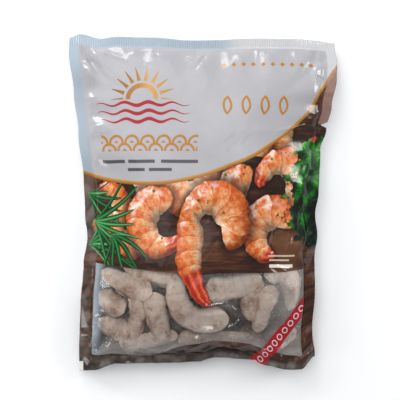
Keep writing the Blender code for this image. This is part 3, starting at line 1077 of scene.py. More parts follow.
@dataclass(frozen=True)
class CookedPrawn:
    """One printed prawn, peeled and cooked: a curl of six plates, cream within, orange outside, red tail."""

    cream: str = "#f0caa4"
    peach: str = "#e89b63"
    orange: str = "#d8692a"
    rust: str = "#b23c12"
    red: str = "#cf2f12"
    lit_from: Place = (-0.38, 0.56, 0.0)

    def group(self) -> bpy.types.NodeTree:
        """Builds its node group.

        Returns:
            The group.
        """
        tree, given, out = open_group(
            "cooked prawn", ("Point", "Centre"), ("Curl", "Girth", "Turn", "Sweep", "Red", "Stain", "Wet"),
            ("Mask", "Shadow"),
        )
        # How far along the curl and how far off its middle line a point is.
        offset = add_node(tree, VECTOR_MATH, given["Point"], given["Centre"], operation="SUBTRACT")
        back = add_node(tree, MATH, given["Turn"], -1.0, operation="MULTIPLY")
        local = add_node(tree, "ShaderNodeVectorRotate", Vector=offset, Angle=back, rotation_type="Z_AXIS")
        parts = add_node(tree, "ShaderNodeSeparateXYZ", local)
        angle = add_node(tree, MATH, parts.outputs["Y"], parts.outputs["X"], operation="ARCTAN2")
        angle = add_node(tree, MATH, angle, 2 * math.pi - 0.9, -0.9, operation="WRAP")
        way = add_node(tree, MATH, angle, given["Sweep"], operation="DIVIDE")
        radius = add_node(tree, VECTOR_MATH, local, operation="LENGTH").outputs["Value"]
        # Its girth, slimmer towards the tail and waved at each plate.
        inside = add_node(tree, MATH, way, 0.0, operation="ADD", use_clamp=True)
        profile = add_node(
            tree, CURVE, 1.0, inside,
            points=((0.0, 0.80), (0.1, 0.98), (0.3, 1.0), (0.55, 0.88), (0.76, 0.64), (0.88, 0.54),
                    (0.96, 0.46), (1.0, 0.36)),
        )
        lobes = add_node(tree, MATH, inside, 6 * math.pi, operation="MULTIPLY")
        lobes = add_node(tree, MATH, lobes, operation="SINE")
        lobes = add_node(tree, MATH, lobes, operation="ABSOLUTE")
        lobes = add_node(tree, MATH, lobes, 0.035, 0.97, operation="MULTIPLY_ADD")
        girth = add_node(tree, MATH, given["Girth"], profile, operation="MULTIPLY")
        girth = add_node(tree, MATH, girth, lobes, operation="MULTIPLY")
        off = add_node(tree, MATH, radius, given["Curl"], operation="SUBTRACT")
        off = add_node(tree, MATH, off, girth, operation="DIVIDE")
        past = add_node(tree, MATH, way, inside, operation="SUBTRACT")
        past = add_node(tree, MATH, past, given["Sweep"], operation="MULTIPLY")
        past = add_node(tree, MATH, past, given["Curl"], operation="MULTIPLY")
        past = add_node(tree, MATH, past, girth, operation="DIVIDE")
        reach = add_node(tree, "ShaderNodeCombineXYZ", off, past)
        reach = add_node(tree, VECTOR_MATH, reach, operation="LENGTH").outputs["Value"]
        # The shape and its shadow.
        mask = add_node(tree, RANGE, reach, 1.0, 0.96, 0.0, 1.0)
        shadow = add_node(tree, RANGE, reach, 1.7, 0.9, 0.0, 0.85, interpolation_type="SMOOTHSTEP")
        # Light on its round side, with a dip at each plate.
        dome = add_node(tree, MATH, reach, reach, operation="MULTIPLY")
        dome = add_node(tree, MATH, 1.0, dome, operation="SUBTRACT", use_clamp=True)
        dome = add_node(tree, MATH, dome, operation="SQRT")
        square = add_node(tree, MATH, off, off, operation="MULTIPLY")
        bands = add_node(tree, MATH, way, 6.0, operation="MULTIPLY")
        bands = add_node(tree, MATH, square, -0.30, bands, operation="MULTIPLY_ADD")
        bands = add_node(tree, MATH, bands, operation="FRACT")
        ray = add_node(tree, VECTOR_MATH, offset, operation="NORMALIZE")
        facing = add_node(tree, VECTOR_MATH, ray, self.lit_from, operation="DOT_PRODUCT")
        facing = add_node(tree, MATH, facing.outputs["Value"], off, operation="MULTIPLY")
        light = add_node(tree, MATH, dome, 0.70, facing, operation="MULTIPLY_ADD")
        swell = add_node(tree, RANGE, bands, 0.05, 0.95, 0.04, -0.07)
        light = add_node(tree, MATH, light, swell, operation="ADD")
        # Flesh from cream to rust, streaked, with a seam at each plate.
        streak = add_node(tree, "ShaderNodeCombineXYZ", way, off)
        streak = add_node(tree, VECTOR_MATH, streak, (44.0, 2.4, 1.0), operation="MULTIPLY")
        streak = add_node(tree, NOISE, streak, Scale=1.0, Detail=2.0)
        lines = add_node(tree, RANGE, streak, 0.3, 0.7, -0.30, 0.30)
        tint = add_node(tree, MATH, off, 0.70, given["Stain"], operation="MULTIPLY_ADD")
        tint = add_node(tree, MATH, tint, lines, operation="ADD")
        rear = add_node(tree, RANGE, bands, 0.45, 1.0, -0.12, 0.30)
        tint = add_node(tree, MATH, tint, rear, operation="ADD")
        tint = add_node(tree, RANGE, tint, -1.5, 1.5, 0.0, 1.0)
        flesh = add_node(
            tree, RAMP, tint,
            stops=((0.14, self.cream), (0.38, self.peach), (0.62, self.orange), (0.90, self.rust)),
        )
        seam = add_node(tree, RANGE, bands, 0.90, 0.98, 0.0, 0.42, interpolation_type="SMOOTHSTEP")
        flesh = add_node(tree, MIX, seam, flesh, "#a8401a", data_type="RGBA")
        # The red tail fan.
        end = add_node(tree, MATH, way, given["Red"], operation="SUBTRACT")
        end = add_node(tree, RANGE, end, 0.0, 0.10, 0.0, 0.92, interpolation_type="SMOOTHSTEP")
        rays = add_node(tree, MATH, off, 8.0, operation="MULTIPLY")
        rays = add_node(tree, MATH, rays, operation="SINE")
        rays = add_node(tree, RANGE, rays, -1.0, 1.0, 0.0, 1.0)
        fan = add_node(tree, RAMP, rays, stops=((0.1, "#9c1a0a"), (0.6, self.red), (1.0, "#e4623c")))
        flesh = add_node(tree, MIX, end, flesh, fan, data_type="RGBA")
        # Light over the colour, then wet glints.
        level = add_node(tree, RAMP, light, stops=((0.0, "#8a8a8a"), (0.45, "#dcdcdc"), (0.9, "#ffffff")))
        shade = add_node(tree, MIX, 1.0, flesh, level, data_type="RGBA", blend_type="MULTIPLY")
        glint = add_node(tree, RANGE, light, 0.74, 0.92, 0.0, 1.0, interpolation_type="SMOOTHSTEP")
        glint = add_node(tree, MATH, glint, given["Wet"], operation="MULTIPLY")
        shade = add_node(tree, MIX, glint, shade, "#fff7ec", data_type="RGBA")
        return close_group(tree, out, Shade=shade, Mask=mask, Shadow=shadow)


@dataclass(frozen=True)
class NeedleFan:
    """Printed needle herb: slim dark-green needles that fan out from one place on the stem."""

    half_width: float = 3.0

    def group(self) -> bpy.types.NodeTree:
        """Builds its node group.

        Returns:
            The group.
        """
        numbers = ("Turn", "Spread", "Length", "Pitch", "Bend", "Seed")
        tree, given, out = open_group("needle fan", ("Point", "Root"), numbers, ("Mask",))
        # Which needle a point is on, and how far off its middle.
        offset = add_node(tree, VECTOR_MATH, given["Point"], given["Root"], operation="SUBTRACT")
        back = add_node(tree, MATH, given["Turn"], -1.0, operation="MULTIPLY")
        local = add_node(tree, "ShaderNodeVectorRotate", Vector=offset, Angle=back, rotation_type="Z_AXIS")
        parts = add_node(tree, "ShaderNodeSeparateXYZ", local)
        radius = add_node(tree, VECTOR_MATH, local, operation="LENGTH").outputs["Value"]
        angle = add_node(tree, MATH, parts.outputs["Y"], parts.outputs["X"], operation="ARCTAN2")
        bend = add_node(tree, MATH, radius, given["Length"], operation="DIVIDE")
        angle = add_node(tree, MATH, bend, given["Bend"], angle, operation="MULTIPLY_ADD")
        step = add_node(tree, MATH, angle, given["Pitch"], operation="DIVIDE")
        cell = add_node(tree, MATH, step, operation="FLOOR")
        within = add_node(tree, MATH, step, operation="FRACT")
        chance = add_node(tree, MATH, cell, given["Seed"], operation="ADD")
        chance = add_node(tree, "ShaderNodeTexWhiteNoise", W=chance, noise_dimensions="1D").outputs["Value"]
        shift = add_node(tree, RANGE, chance, 0.0, 1.0, 0.36, 0.64)
        aside = add_node(tree, MATH, within, shift, operation="SUBTRACT")
        aside = add_node(tree, MATH, aside, given["Pitch"], operation="MULTIPLY")
        aside = add_node(tree, MATH, aside, radius, operation="MULTIPLY")
        aside = add_node(tree, MATH, aside, operation="ABSOLUTE")
        # Needles of uneven length that taper to a point.
        reach = add_node(tree, RANGE, chance, 0.0, 1.0, 0.55, 1.0)
        reach = add_node(tree, MATH, reach, given["Length"], operation="MULTIPLY")
        reach = add_node(tree, MATH, radius, reach, operation="DIVIDE")
        taper = add_node(tree, MATH, 1.0, reach, operation="SUBTRACT", use_clamp=True)
        taper = add_node(tree, MATH, taper, 0.32, operation="POWER")
        root = add_node(tree, RANGE, radius, 0.0, 9.0, 0.45, 1.0)
        half = add_node(tree, MATH, taper, self.half_width, operation="MULTIPLY")
        half = add_node(tree, MATH, half, root, operation="MULTIPLY")
        room = add_node(tree, MATH, half, aside, operation="SUBTRACT")
        mask = add_node(tree, RANGE, room, 0.0, 0.25, 0.0, 1.0)
        ahead = add_node(tree, MATH, angle, operation="ABSOLUTE")
        ahead = add_node(tree, MATH, ahead, given["Spread"], operation="LESS_THAN")
        mask = add_node(tree, MATH, mask, ahead, operation="MULTIPLY")
        # A pale ridge down each needle.
        ridge = add_node(tree, MATH, aside, half, operation="DIVIDE")
        pale = add_node(tree, RANGE, chance, 0.0, 1.0, 0.0, 0.35)
        ridge = add_node(tree, MATH, ridge, pale, operation="ADD")
        green = add_node(
            tree, RAMP, ridge,
            stops=((0.0, "#8dbf92"), (0.16, "#3f8a4c"), (0.5, "#175a26"), (0.95, "#08240e")),
        )
        return close_group(tree, out, Shade=green, Mask=mask)


@dataclass(frozen=True)
class PrintedFilm:
    """Glossy polyamide and polyethylene film, gravure-printed on its inside and left clear over the window.

    The ink lies under the film, so every colour has the film's own smooth gloss.
    """

    panel: str = "#aaa9ad"
    gold: str = "#a9752e"
    gold_light: str = "#c6954c"
    gold_dark: str = "#7f531c"
    red: str = "#9c0a1c"
    grey_ink: str = "#3b363b"
    seal: str = "#9fadb8"
    seal_pale: str = "#bfbfc0"
    window_edges: tuple[float, float] = (14.0, 237.5)
    over_band: Place = (-0.777, 0.629, 0.0)
    along_band: Place = (0.629, 0.777, 0.0)
    # Painted glints on folds of the left seal: from what height to what, and how wide at each.
    seal_glints: tuple[tuple[float, float, float, float], ...] = (
        (41.0, 62.0, 9.4, 1.4), (33.0, 34.6, 10.0, 9.0),
    )
    roughness: float = 0.17
    prawns: tuple[tuple, ...] = (
        ((222, 214), 18, 15.0, 2.7, 3.6, 0.90), ((50, 174), 20, 16.0, 5.9, 3.6, 0.92),
        ((168, 196), 22, 17.0, 0.7, 3.9, 0.90), ((24, 152), 18, 14.0, 4.4, 3.6, 0.92),
        ((112, 182), 22, 17.0, 3.5, 3.9, 0.84), ((208, 172), 22, 17.5, 5.2, 4.0, 0.90),
        ((50, 134), 17, 14.0, 3.4, 3.7, 0.88), ((176, 160), 21, 17.0, 2.1, 4.1, 0.86),
        ((200, 128), 20, 16.5, 0.9, 3.8, 0.84), ((83, 137), 21, 17.0, 1.6, 3.9, 0.82),
        ((137, 138), 23, 18.5, 5.85, 4.0, 0.97),
    )
    fans: tuple[tuple, ...] = (
        ((4, 166), -0.55, 0.8, 42, 0.33, -0.25, 3), ((2, 118), 0.30, 0.8, 62, 0.30, 0.22, 21),
        ((9, 140), -0.35, 1.0, 74, 0.27, -0.30, 40), ((27, 128), -0.75, 0.8, 54, 0.33, 0.28, 77),
    )

    def make(self) -> bpy.types.Material:
        """Builds the front film's material.

        Returns:
            The material.
        """
        material, tree, out = new_material("printed gloss film")
        point = add_node(tree, "ShaderNodeUVMap", uv_map="flat_film").outputs[0]
        parts = add_node(tree, "ShaderNodeSeparateXYZ", point)
        ink = Ink(tree, point, parts.outputs["X"], parts.outputs["Y"], None)
        self.board(ink)
        tail = self.picture(ink)
        clear = self.window(ink, tail)
        panel = self.panel_field(ink)
        self.emblem(ink)
        self.small_marks(ink)
        self.seals(ink, panel)
        # Fine upright ribs pressed into the top seal.
        ribs = add_node(tree, MATH, ink.u, math.pi / 1.1, operation="MULTIPLY")
        ribs = add_node(tree, MATH, ribs, operation="SINE")
        band = add_node(tree, MATH, ink.v, 304.5, operation="GREATER_THAN")
        ribs = add_node(tree, MATH, ribs, band, operation="MULTIPLY")
        bump = add_node(tree, "ShaderNodeBump", Strength=0.45, Distance=0.0003, Height=ribs)
        printed = add_node(
            tree, "ShaderNodeBsdfPrincipled", Base_Color=ink.colour, Roughness=self.roughness, IOR=1.42,
            Normal=bump,
        )
        # Clear film over the window and printed film elsewhere.
        film = self.clear_film(ink)
        both = add_node(tree, "ShaderNodeMixShader", clear, printed, film)
        tree.links.new(both.outputs[0], out.inputs[0])
        return material

    def clear_film(self, ink: Ink) -> bpy.types.Node:
        """Clear film over the window: see-through, hazed by frost in patches, with a sharp gloss.

        Args:
            ink: the print so far.

        Returns:
            The clear film's shader.
        """
        tree = ink.tree
        # How hazy it is: frost in patches, and more along the left, the foot and the right.
        frost = add_node(tree, NOISE, ink.point, Scale=0.055, Detail=5.0, Roughness=0.6)
        frost = add_node(tree, RANGE, frost, 0.45, 0.75, 0.005, 0.10)
        left = add_node(tree, RANGE, ink.u, 15.0, 28.0, 0.50, 0.0, interpolation_type="SMOOTHSTEP")
        low = add_node(tree, RANGE, ink.v, 36.0, 16.0, 0.0, 0.30, interpolation_type="SMOOTHSTEP")
        right = add_node(tree, RANGE, ink.u, 180.0, 222.0, 0.0, 0.23, interpolation_type="SMOOTHSTEP")
        haze = add_node(tree, MATH, left, low, operation="MAXIMUM")
        haze = add_node(tree, MATH, haze, right, operation="MAXIMUM")
        haze = add_node(tree, MATH, haze, frost, operation="ADD")
        # Its body, from clear to milky and cooler at the left.
        through = add_node(tree, "ShaderNodeBsdfTransparent", Color="#fdfdfd")
        cool = add_node(tree, RANGE, ink.u, 18.0, 32.0, 0.9, 0.0, interpolation_type="SMOOTHSTEP")
        shade = add_node(tree, MIX, cool, "#d2c9c3", "#b6c4d0", data_type="RGBA")
        milk = add_node(tree, "ShaderNodeBsdfDiffuse", Color=shade)
        body = add_node(tree, "ShaderNodeMixShader", haze, through, milk)
        # Its gloss, broken up by ice crystals towards the right.
        crystals = add_node(tree, NOISE, ink.point, Scale=0.42, Detail=4.0, Roughness=0.7)
        sharp = add_node(tree, RANGE, ink.u, 160.0, 205.0, 0.06, 1.0)
        bump = add_node(tree, "ShaderNodeBump", Distance=0.0010, Height=crystals, Strength=sharp)
        gloss = add_node(tree, "ShaderNodeBsdfGlossy", Color="#ffffff", Roughness=0.08, Normal=bump)
        sheen = add_node(tree, "ShaderNodeFresnel", IOR=1.45)
        return add_node(tree, "ShaderNodeMixShader", sheen, body, gloss)

    def board(self, ink: Ink) -> None:
        """A dark wooden board behind the picture, with painted sheen in pale grey streaks near the edges.

        Args:
            ink: the print so far.
        """
        tree = ink.tree
        # Grain along the board.
        stretched = add_node(
            tree, "ShaderNodeMapping", ink.point, Scale=(0.011, 0.11, 1.0), Rotation=(0.0, 0.0, 0.25),
        )
        grain = add_node(tree, NOISE, stretched, Scale=1.0, Detail=7.0, Roughness=0.68)
        wood = add_node(
            tree, RAMP, grain,
            stops=((0.28, "#140905"), (0.46, "#331a0f"), (0.60, "#5b341f"), (0.78, "#8b5e40")),
        )
        low = add_node(tree, RANGE, ink.v, 22.0, 4.0, 0.0, 0.75, interpolation_type="SMOOTHSTEP")
        ink.colour = add_node(tree, MIX, low, wood, "#17100b", data_type="RGBA")
        # Painted sheen: pale grey streaks near the left and lower edges, as gloss on the crumpled film.
        fade = add_node(tree, RANGE, ink.u, 60.0, 190.0, 1.0, 2.1)
        edge = add_node(tree, MATH, ink.v, fade, operation="MULTIPLY")
        edge = add_node(tree, MATH, ink.u, edge, operation="MINIMUM")
        edge = add_node(tree, RANGE, edge, 16.0, 7.0, 0.0, 1.0, interpolation_type="SMOOTHSTEP")
        sheen_streaks = add_node(tree, NOISE, ink.point, Scale=0.055, Detail=3.0)
        sheen_streaks = add_node(tree, RANGE, sheen_streaks, 0.40, 0.68, 0.06, 0.46)
        ink.lay(add_node(tree, MATH, edge, sheen_streaks, operation="MULTIPLY"), "#918981")
        # Painted highlights: pale glints on folds of the left seal.
        for low_end, high_end, low_width, high_width in self.seal_glints:
            limit = add_node(tree, RANGE, ink.v, low_end, high_end, low_width, high_width)
            inside = add_node(tree, MATH, limit, ink.u, operation="SUBTRACT")
            inside = add_node(tree, RANGE, inside, -0.8, 2.4, 0.0, 0.55)
            inwards = add_node(tree, RANGE, ink.u, 0.9, 2.2, 0.0, 1.0)
            inside = add_node(tree, MATH, inside, inwards, operation="MULTIPLY")
            above = add_node(tree, RANGE, ink.v, low_end - 0.5, low_end + 0.5, 0.0, 1.0)
            below = add_node(tree, RANGE, ink.v, high_end - 0.5, high_end + 0.5, 1.0, 0.0)
            inside = add_node(tree, MATH, inside, above, operation="MULTIPLY")
            ink.lay(add_node(tree, MATH, inside, below, operation="MULTIPLY"), "#b7b1ab")
        # A warmer patch at the right.
        far = add_node(tree, VECTOR_MATH, ink.point, (215.0, 118.0, 0.0), operation="DISTANCE")
        far = far.outputs["Value"]
        warm = add_node(tree, RANGE, far, 34.0, 8.0, 0.0, 0.7, interpolation_type="SMOOTHSTEP")
        ink.lay(warm, "#6b4327")

    def picture(self, ink: Ink) -> bpy.types.Node:
        """Prints cooked prawns on the board with herbs beside them.

        Args:
            ink: the print so far.

        Returns:
            The mask of the tail that hangs over the window.
        """
        tree = ink.tree
        prawn = CookedPrawn().group()
        # Uneven outlines, brown stains and wet patches that all the printed prawns share.
        ragged = add_node(tree, NOISE, ink.point, Scale=0.11, Detail=3.0).outputs["Color"]
        ragged = add_node(tree, VECTOR_MATH, ragged, (0.5, 0.5, 0.5), operation="SUBTRACT")
        place = add_node(tree, VECTOR_MATH, ragged, (5.0, 5.0, 0.0), ink.point, operation="MULTIPLY_ADD")
        mottle = add_node(tree, NOISE, ink.point, Scale=0.16, Detail=5.0, Roughness=0.62)
        stain = add_node(tree, RANGE, mottle, 0.3, 0.7, -0.85, 0.62)
        wet = add_node(tree, NOISE, ink.point, Scale=0.14, Detail=3.0, Roughness=0.55)
        wet = add_node(tree, RANGE, wet, 0.40, 0.66, 0.0, 0.75, interpolation_type="SMOOTHSTEP")
        # The tail that hangs over the window, and the other prawns.
        tail = add_node(
            tree, GROUP, node_tree=prawn, Point=place, Centre=(207.0, 124.0, 0.0), Curl=95.0, Girth=14.0,
            Turn=2.97, Sweep=0.86, Red=0.52, Stain=stain, Wet=wet,
        )
        for centre, curl, girth, turn, sweep, red in self.prawns:
            place = ink.press(
                prawn, place, Centre=(*centre, 0.0), Curl=float(curl), Girth=float(girth), Turn=float(turn),
                Sweep=float(sweep), Red=float(red), Stain=stain, Wet=wet,
            )
        ink.lay(tail.outputs["Mask"], tail.outputs["Shade"])
        self.seasoning(ink)
        self.leaves(ink)
        # Needle herb at the left.
        fan = NeedleFan().group()
        place = ink.point
        for root, turn, spread, length, pitch, bend, seed in self.fans:
            place = ink.press(
                fan, place, Root=(*root, 0.0), Turn=turn, Spread=spread, Length=float(length), Pitch=pitch,
                Bend=bend, Seed=float(seed),
            )
        return tail

    def seasoning(self, ink: Ink) -> None:
        """Pepper and chopped herb scattered over the printed prawns, the bright part of the picture.

        Args:
            ink: the print so far.
        """
        tree = ink.tree
        shown = add_node(tree, "ShaderNodeRGBToBW", ink.colour)
        shown = add_node(tree, RANGE, shown, 0.10, 0.16, 0.0, 1.0)
        for spacing, size, share, shade in ((4.6, 0.60, 0.62, "#1d0f0a"), (9.5, 1.7, 0.62, "#245a1f")):
            cells = add_node(tree, "ShaderNodeTexVoronoi", ink.point, Scale=1 / spacing)
            chance = add_node(tree, "ShaderNodeSeparateXYZ", cells.outputs["Color"]).outputs["X"]
            ragged = add_node(tree, NOISE, ink.point, Scale=0.5, Detail=1.0)
            far = add_node(tree, MATH, cells.outputs["Distance"], spacing, ragged, operation="MULTIPLY_ADD")
            dot = add_node(tree, RANGE, far, size + 0.55, size + 0.30, 0.0, 0.9)
            some = add_node(tree, MATH, chance, share, operation="GREATER_THAN")
            dot = add_node(tree, MATH, dot, some, operation="MULTIPLY")
            dot = add_node(tree, MATH, dot, shown, operation="MULTIPLY")
            ink.lay(dot, shade)

    def leaves(self, ink: Ink) -> None:
        """A soft bunch of leafy herb down the right side.

        Args:
            ink: the print so far.
        """
        tree = ink.tree
        ragged = add_node(tree, NOISE, ink.point, Scale=0.075, Detail=4.0, Roughness=0.65)
        ragged = add_node(tree, RANGE, ragged, 0.25, 0.75, -20.0, 20.0)
        edge = add_node(tree, MATH, ink.u, ragged, operation="ADD")
        middle = add_node(tree, MATH, ink.v, 166.0, operation="SUBTRACT")
        middle = add_node(tree, MATH, middle, 50.0, operation="DIVIDE")
        middle = add_node(tree, MATH, middle, 4.0, operation="POWER")
        middle = add_node(tree, MATH, middle, 22.0, operation="MULTIPLY")
        edge = add_node(tree, MATH, edge, middle, operation="SUBTRACT")
        mask = add_node(tree, RANGE, edge, 215.0, 218.5, 0.0, 1.0, interpolation_type="SMOOTHSTEP")
        stretched = add_node(
            tree, "ShaderNodeMapping", ink.point, Scale=(0.11, 0.055, 1.0), Rotation=(0.0, 0.0, 0.4),
        )
        lobes = add_node(
            tree, "ShaderNodeTexVoronoi", stretched, Scale=1.0, feature="SMOOTH_F1", Smoothness=0.25,
        )
        veins = add_node(tree, NOISE, ink.point, Scale=0.12, Detail=5.0, Roughness=0.6, Distortion=0.8)
        depth = add_node(tree, MATH, lobes.outputs["Distance"], -0.55, veins, operation="MULTIPLY_ADD")
        bright = add_node(tree, RANGE, ink.v, 150.0, 205.0, 0.0, 0.16, interpolation_type="SMOOTHSTEP")
        depth = add_node(tree, MATH, depth, bright, operation="ADD")
        green = add_node(
            tree, RAMP, depth,
            stops=((0.08, "#010501"), (0.22, "#03200a"), (0.34, "#0a4a0d"), (0.46, "#1c7415"),
                   (0.62, "#58a83c")),
        )
        ink.lay(mask, green)

    def window(self, ink: Ink, tail: bpy.types.Node) -> bpy.types.Node:
        """Finds where the film is clear, and prints the red band across the window's corner.

        Args:
            ink: the print so far.
            tail: the printed tail that hangs over the window.

        Returns:
            The clear share.
        """
        tree, u, v = ink.tree, ink.u, ink.v
        # The window's bowed top and wavy bottom.
        offset = add_node(tree, MATH, u, 150.0, operation="SUBTRACT")
        offset = add_node(tree, MATH, offset, 130.0, operation="DIVIDE")
        top = add_node(tree, MATH, offset, 2.0, operation="POWER")
        top = add_node(tree, MATH, top, 9.5, 91.0, operation="MULTIPLY_ADD")
        below = add_node(tree, MATH, top, v, operation="SUBTRACT")
        share = add_node(tree, MATH, u, float(FILM_WIDE), operation="DIVIDE")
        bottom = add_node(
            tree, CURVE, 1.0, share,
            points=((0.0, 0.19), (0.16, 0.11), (0.32, 0.09), (0.42, 0.18), (0.53, 0.215), (0.70, 0.195),
                    (1.0, 0.10)),
        )
        bottom = add_node(tree, MATH, bottom, 100.0, operation="MULTIPLY")
        above = add_node(tree, MATH, v, bottom, operation="SUBTRACT")
        # Its sides, and where a point is within all four edges.
        left = add_node(tree, MATH, u, self.window_edges[0], operation="SUBTRACT")
        right = add_node(tree, MATH, self.window_edges[1], u, operation="SUBTRACT")
        inside = add_node(tree, MATH, below, above, operation="MINIMUM")
        sides = add_node(tree, MATH, left, right, operation="MINIMUM")
        inside = add_node(tree, MATH, inside, sides, operation="MINIMUM")
        clear = add_node(tree, RANGE, inside, -0.25, 0.25, 0.0, 1.0)
        # The red band across the corner.
        aside = add_node(tree, VECTOR_MATH, ink.point, self.over_band, operation="DOT_PRODUCT")
        aside = add_node(tree, MATH, aside.outputs["Value"], 146.4, operation="ADD")
        aside = add_node(tree, MATH, aside, operation="ABSOLUTE")
        band = add_node(tree, RANGE, aside, 6.4, 6.0, 0.0, 1.0)
        corner = add_node(tree, MATH, right, 0.0, operation="GREATER_THAN")
        band = add_node(tree, MATH, band, corner, operation="MULTIPLY")
        ink.lay(band, self.red)
        # Pale rings along the band.
        along = add_node(tree, VECTOR_MATH, ink.point, self.along_band, operation="DOT_PRODUCT")
        bead = add_node(tree, MATH, along.outputs["Value"], 8.6, operation="PINGPONG")
        bead = add_node(tree, MATH, bead, 4.3, operation="SUBTRACT")
        reach = add_node(tree, "ShaderNodeCombineXYZ", aside, bead)
        reach = add_node(tree, VECTOR_MATH, reach, operation="LENGTH").outputs["Value"]
        ring = add_node(tree, MATH, reach, 2.6, operation="SUBTRACT")
        ring = add_node(tree, MATH, ring, operation="ABSOLUTE")
        ring = add_node(tree, RANGE, ring, 0.55, 0.35, 0.0, 1.0)
        ring = add_node(tree, MATH, ring, band, operation="MULTIPLY")
        ink.lay(ring, "#d9cfd0")
        # The film is clear where neither the band nor the tail covers it.
        opaque = add_node(tree, MATH, band, tail.outputs["Mask"], operation="MAXIMUM")
        opaque = add_node(tree, MATH, 1.0, opaque, operation="SUBTRACT")
        return add_node(tree, MATH, clear, opaque, operation="MULTIPLY")

    def panel_field(self, ink: Ink) -> bpy.types.Node:
        """Prints the pale panel above the picture, with the gold line along its lower edge.

        Args:
            ink: the print so far.

        Returns:
            The panel's mask.
        """
        tree = ink.tree
        # The panel's curved lower edge, and how far above it a point is.
        share = add_node(tree, MATH, ink.u, float(FILM_WIDE), operation="DIVIDE")
        line = ((0.0, 0.5908), (0.104, 0.5694), (0.289, 0.5564), (0.454, 0.571), (0.616, 0.6083),
                (0.75, 0.653), (0.847, 0.7137), (0.914, 0.7764), (0.958, 0.8564), (1.0, 0.918))
        height = add_node(tree, CURVE, 1.0, share, points=line)
        ahead = add_node(tree, MATH, share, 0.004, operation="ADD")
        ahead = add_node(tree, CURVE, 1.0, ahead, points=line)
        slope = add_node(tree, MATH, ahead, height, operation="SUBTRACT")
        slope = add_node(tree, MATH, slope, float(FILM_HIGH), operation="MULTIPLY")
        slope = add_node(tree, "ShaderNodeCombineXYZ", slope, 1.0)
        slope = add_node(tree, VECTOR_MATH, slope, operation="LENGTH").outputs["Value"]
        height = add_node(tree, MATH, height, float(FILM_HIGH), operation="MULTIPLY")
        above = add_node(tree, MATH, ink.v, height, operation="SUBTRACT")
        above = add_node(tree, MATH, above, slope, operation="DIVIDE")
        # The gold line.
        gold = add_node(tree, RANGE, above, -1.9, -1.6, 0.0, 1.0)
        shine = add_node(tree, RANGE, above, -2.0, 2.2, 0.0, 1.0)
        gilt = add_node(
            tree, RAMP, shine, stops=((0.0, self.gold_dark), (0.5, self.gold), (1.0, self.gold_light)),
        )
        ink.lay(gold, gilt)
        # The panel, faintly clouded.
        panel = add_node(tree, RANGE, above, 1.5, 1.8, 0.0, 1.0)
        cloudy = add_node(tree, NOISE, ink.point, Scale=0.02, Detail=2.0)
        pale = add_node(tree, RAMP, cloudy, stops=((0.35, "#a3a2a6"), (0.65, self.panel)))
        ink.lay(panel, pale)
        return panel

    def emblem(self, ink: Ink) -> None:
        """A plain gold half sun with rays over three red waves, high on the left of the panel.

        Args:
            ink: the print so far.
        """
        tree = ink.tree
        offset = add_node(tree, VECTOR_MATH, ink.point, (67.0, 252.0, 0.0), operation="SUBTRACT")
        parts = add_node(tree, "ShaderNodeSeparateXYZ", offset)
        x, y = parts.outputs["X"], parts.outputs["Y"]
        radius = add_node(tree, VECTOR_MATH, offset, operation="LENGTH").outputs["Value"]
        angle = add_node(tree, MATH, y, x, operation="ARCTAN2")
        # Half a ring.
        up = add_node(tree, RANGE, y, 0.0, 0.4, 0.0, 1.0)
        disc = add_node(tree, MATH, radius, 13.5, operation="SUBTRACT")
        disc = add_node(tree, MATH, disc, operation="ABSOLUTE")
        disc = add_node(tree, RANGE, disc, 2.4, 2.0, 0.0, 1.0)
        # Slim rays round it.
        ray = add_node(tree, MATH, angle, math.pi / 18, operation="PINGPONG")
        ray = add_node(tree, MATH, ray, radius, operation="MULTIPLY")
        slim = add_node(tree, RANGE, radius, 18.0, 31.0, 2.1, 0.5)
        ray = add_node(tree, MATH, slim, ray, operation="SUBTRACT")
        ray = add_node(tree, RANGE, ray, 0.0, 0.3, 0.0, 1.0)
        start = add_node(tree, RANGE, radius, 18.0, 18.4, 0.0, 1.0)
        stop = add_node(tree, RANGE, radius, 31.4, 31.0, 0.0, 1.0)
        ray = add_node(tree, MATH, ray, start, operation="MULTIPLY")
        ray = add_node(tree, MATH, ray, stop, operation="MULTIPLY")
        # Both of them in gilt.
        sun = add_node(tree, MATH, ray, disc, operation="MAXIMUM")
        sun = add_node(tree, MATH, sun, up, operation="MULTIPLY")
        lustre = add_node(tree, RANGE, x, -30.0, 30.0, 0.0, 1.0)
        gilt = add_node(
            tree, RAMP, lustre,
            stops=((0.0, self.gold_dark), (0.45, self.gold), (0.6, self.gold_light), (1.0, self.gold)),
        )
        ink.lay(sun, gilt)
        # Three waves below it, thinner towards their ends.
        wave = add_node(tree, MATH, x, 2 * math.pi / 23, operation="MULTIPLY")
        wave = add_node(tree, MATH, wave, operation="SINE")
        wave = add_node(tree, MATH, wave, -1.6, y, operation="MULTIPLY_ADD")
        wave = add_node(tree, MATH, wave, 4.0, operation="ADD")
        rows = add_node(tree, MATH, wave, 3.9, operation="PINGPONG")
        far = add_node(tree, MATH, x, operation="ABSOLUTE")
        thick = add_node(tree, RANGE, far, 10.0, 46.0, 1.9, 0.3)
        rows = add_node(tree, MATH, thick, rows, operation="SUBTRACT")
        rows = add_node(tree, RANGE, rows, 0.0, 0.3, 0.0, 1.0)
        level = add_node(tree, MATH, wave, 7.8, operation="ADD")
        level = add_node(tree, MATH, level, operation="ABSOLUTE")
        for distance, limit in ((level, 10.5), (far, 45.0)):
            within = add_node(tree, MATH, distance, limit, operation="LESS_THAN")
            rows = add_node(tree, MATH, rows, within, operation="MULTIPLY")
        ink.lay(rows, self.red)

    def small_marks(self, ink: Ink) -> None:
        """Gold scale arcs, four petals, a row of diamonds, and short plain bars.

        Args:
            ink: the print so far.
        """
        tree, u, v = ink.tree, ink.u, ink.v
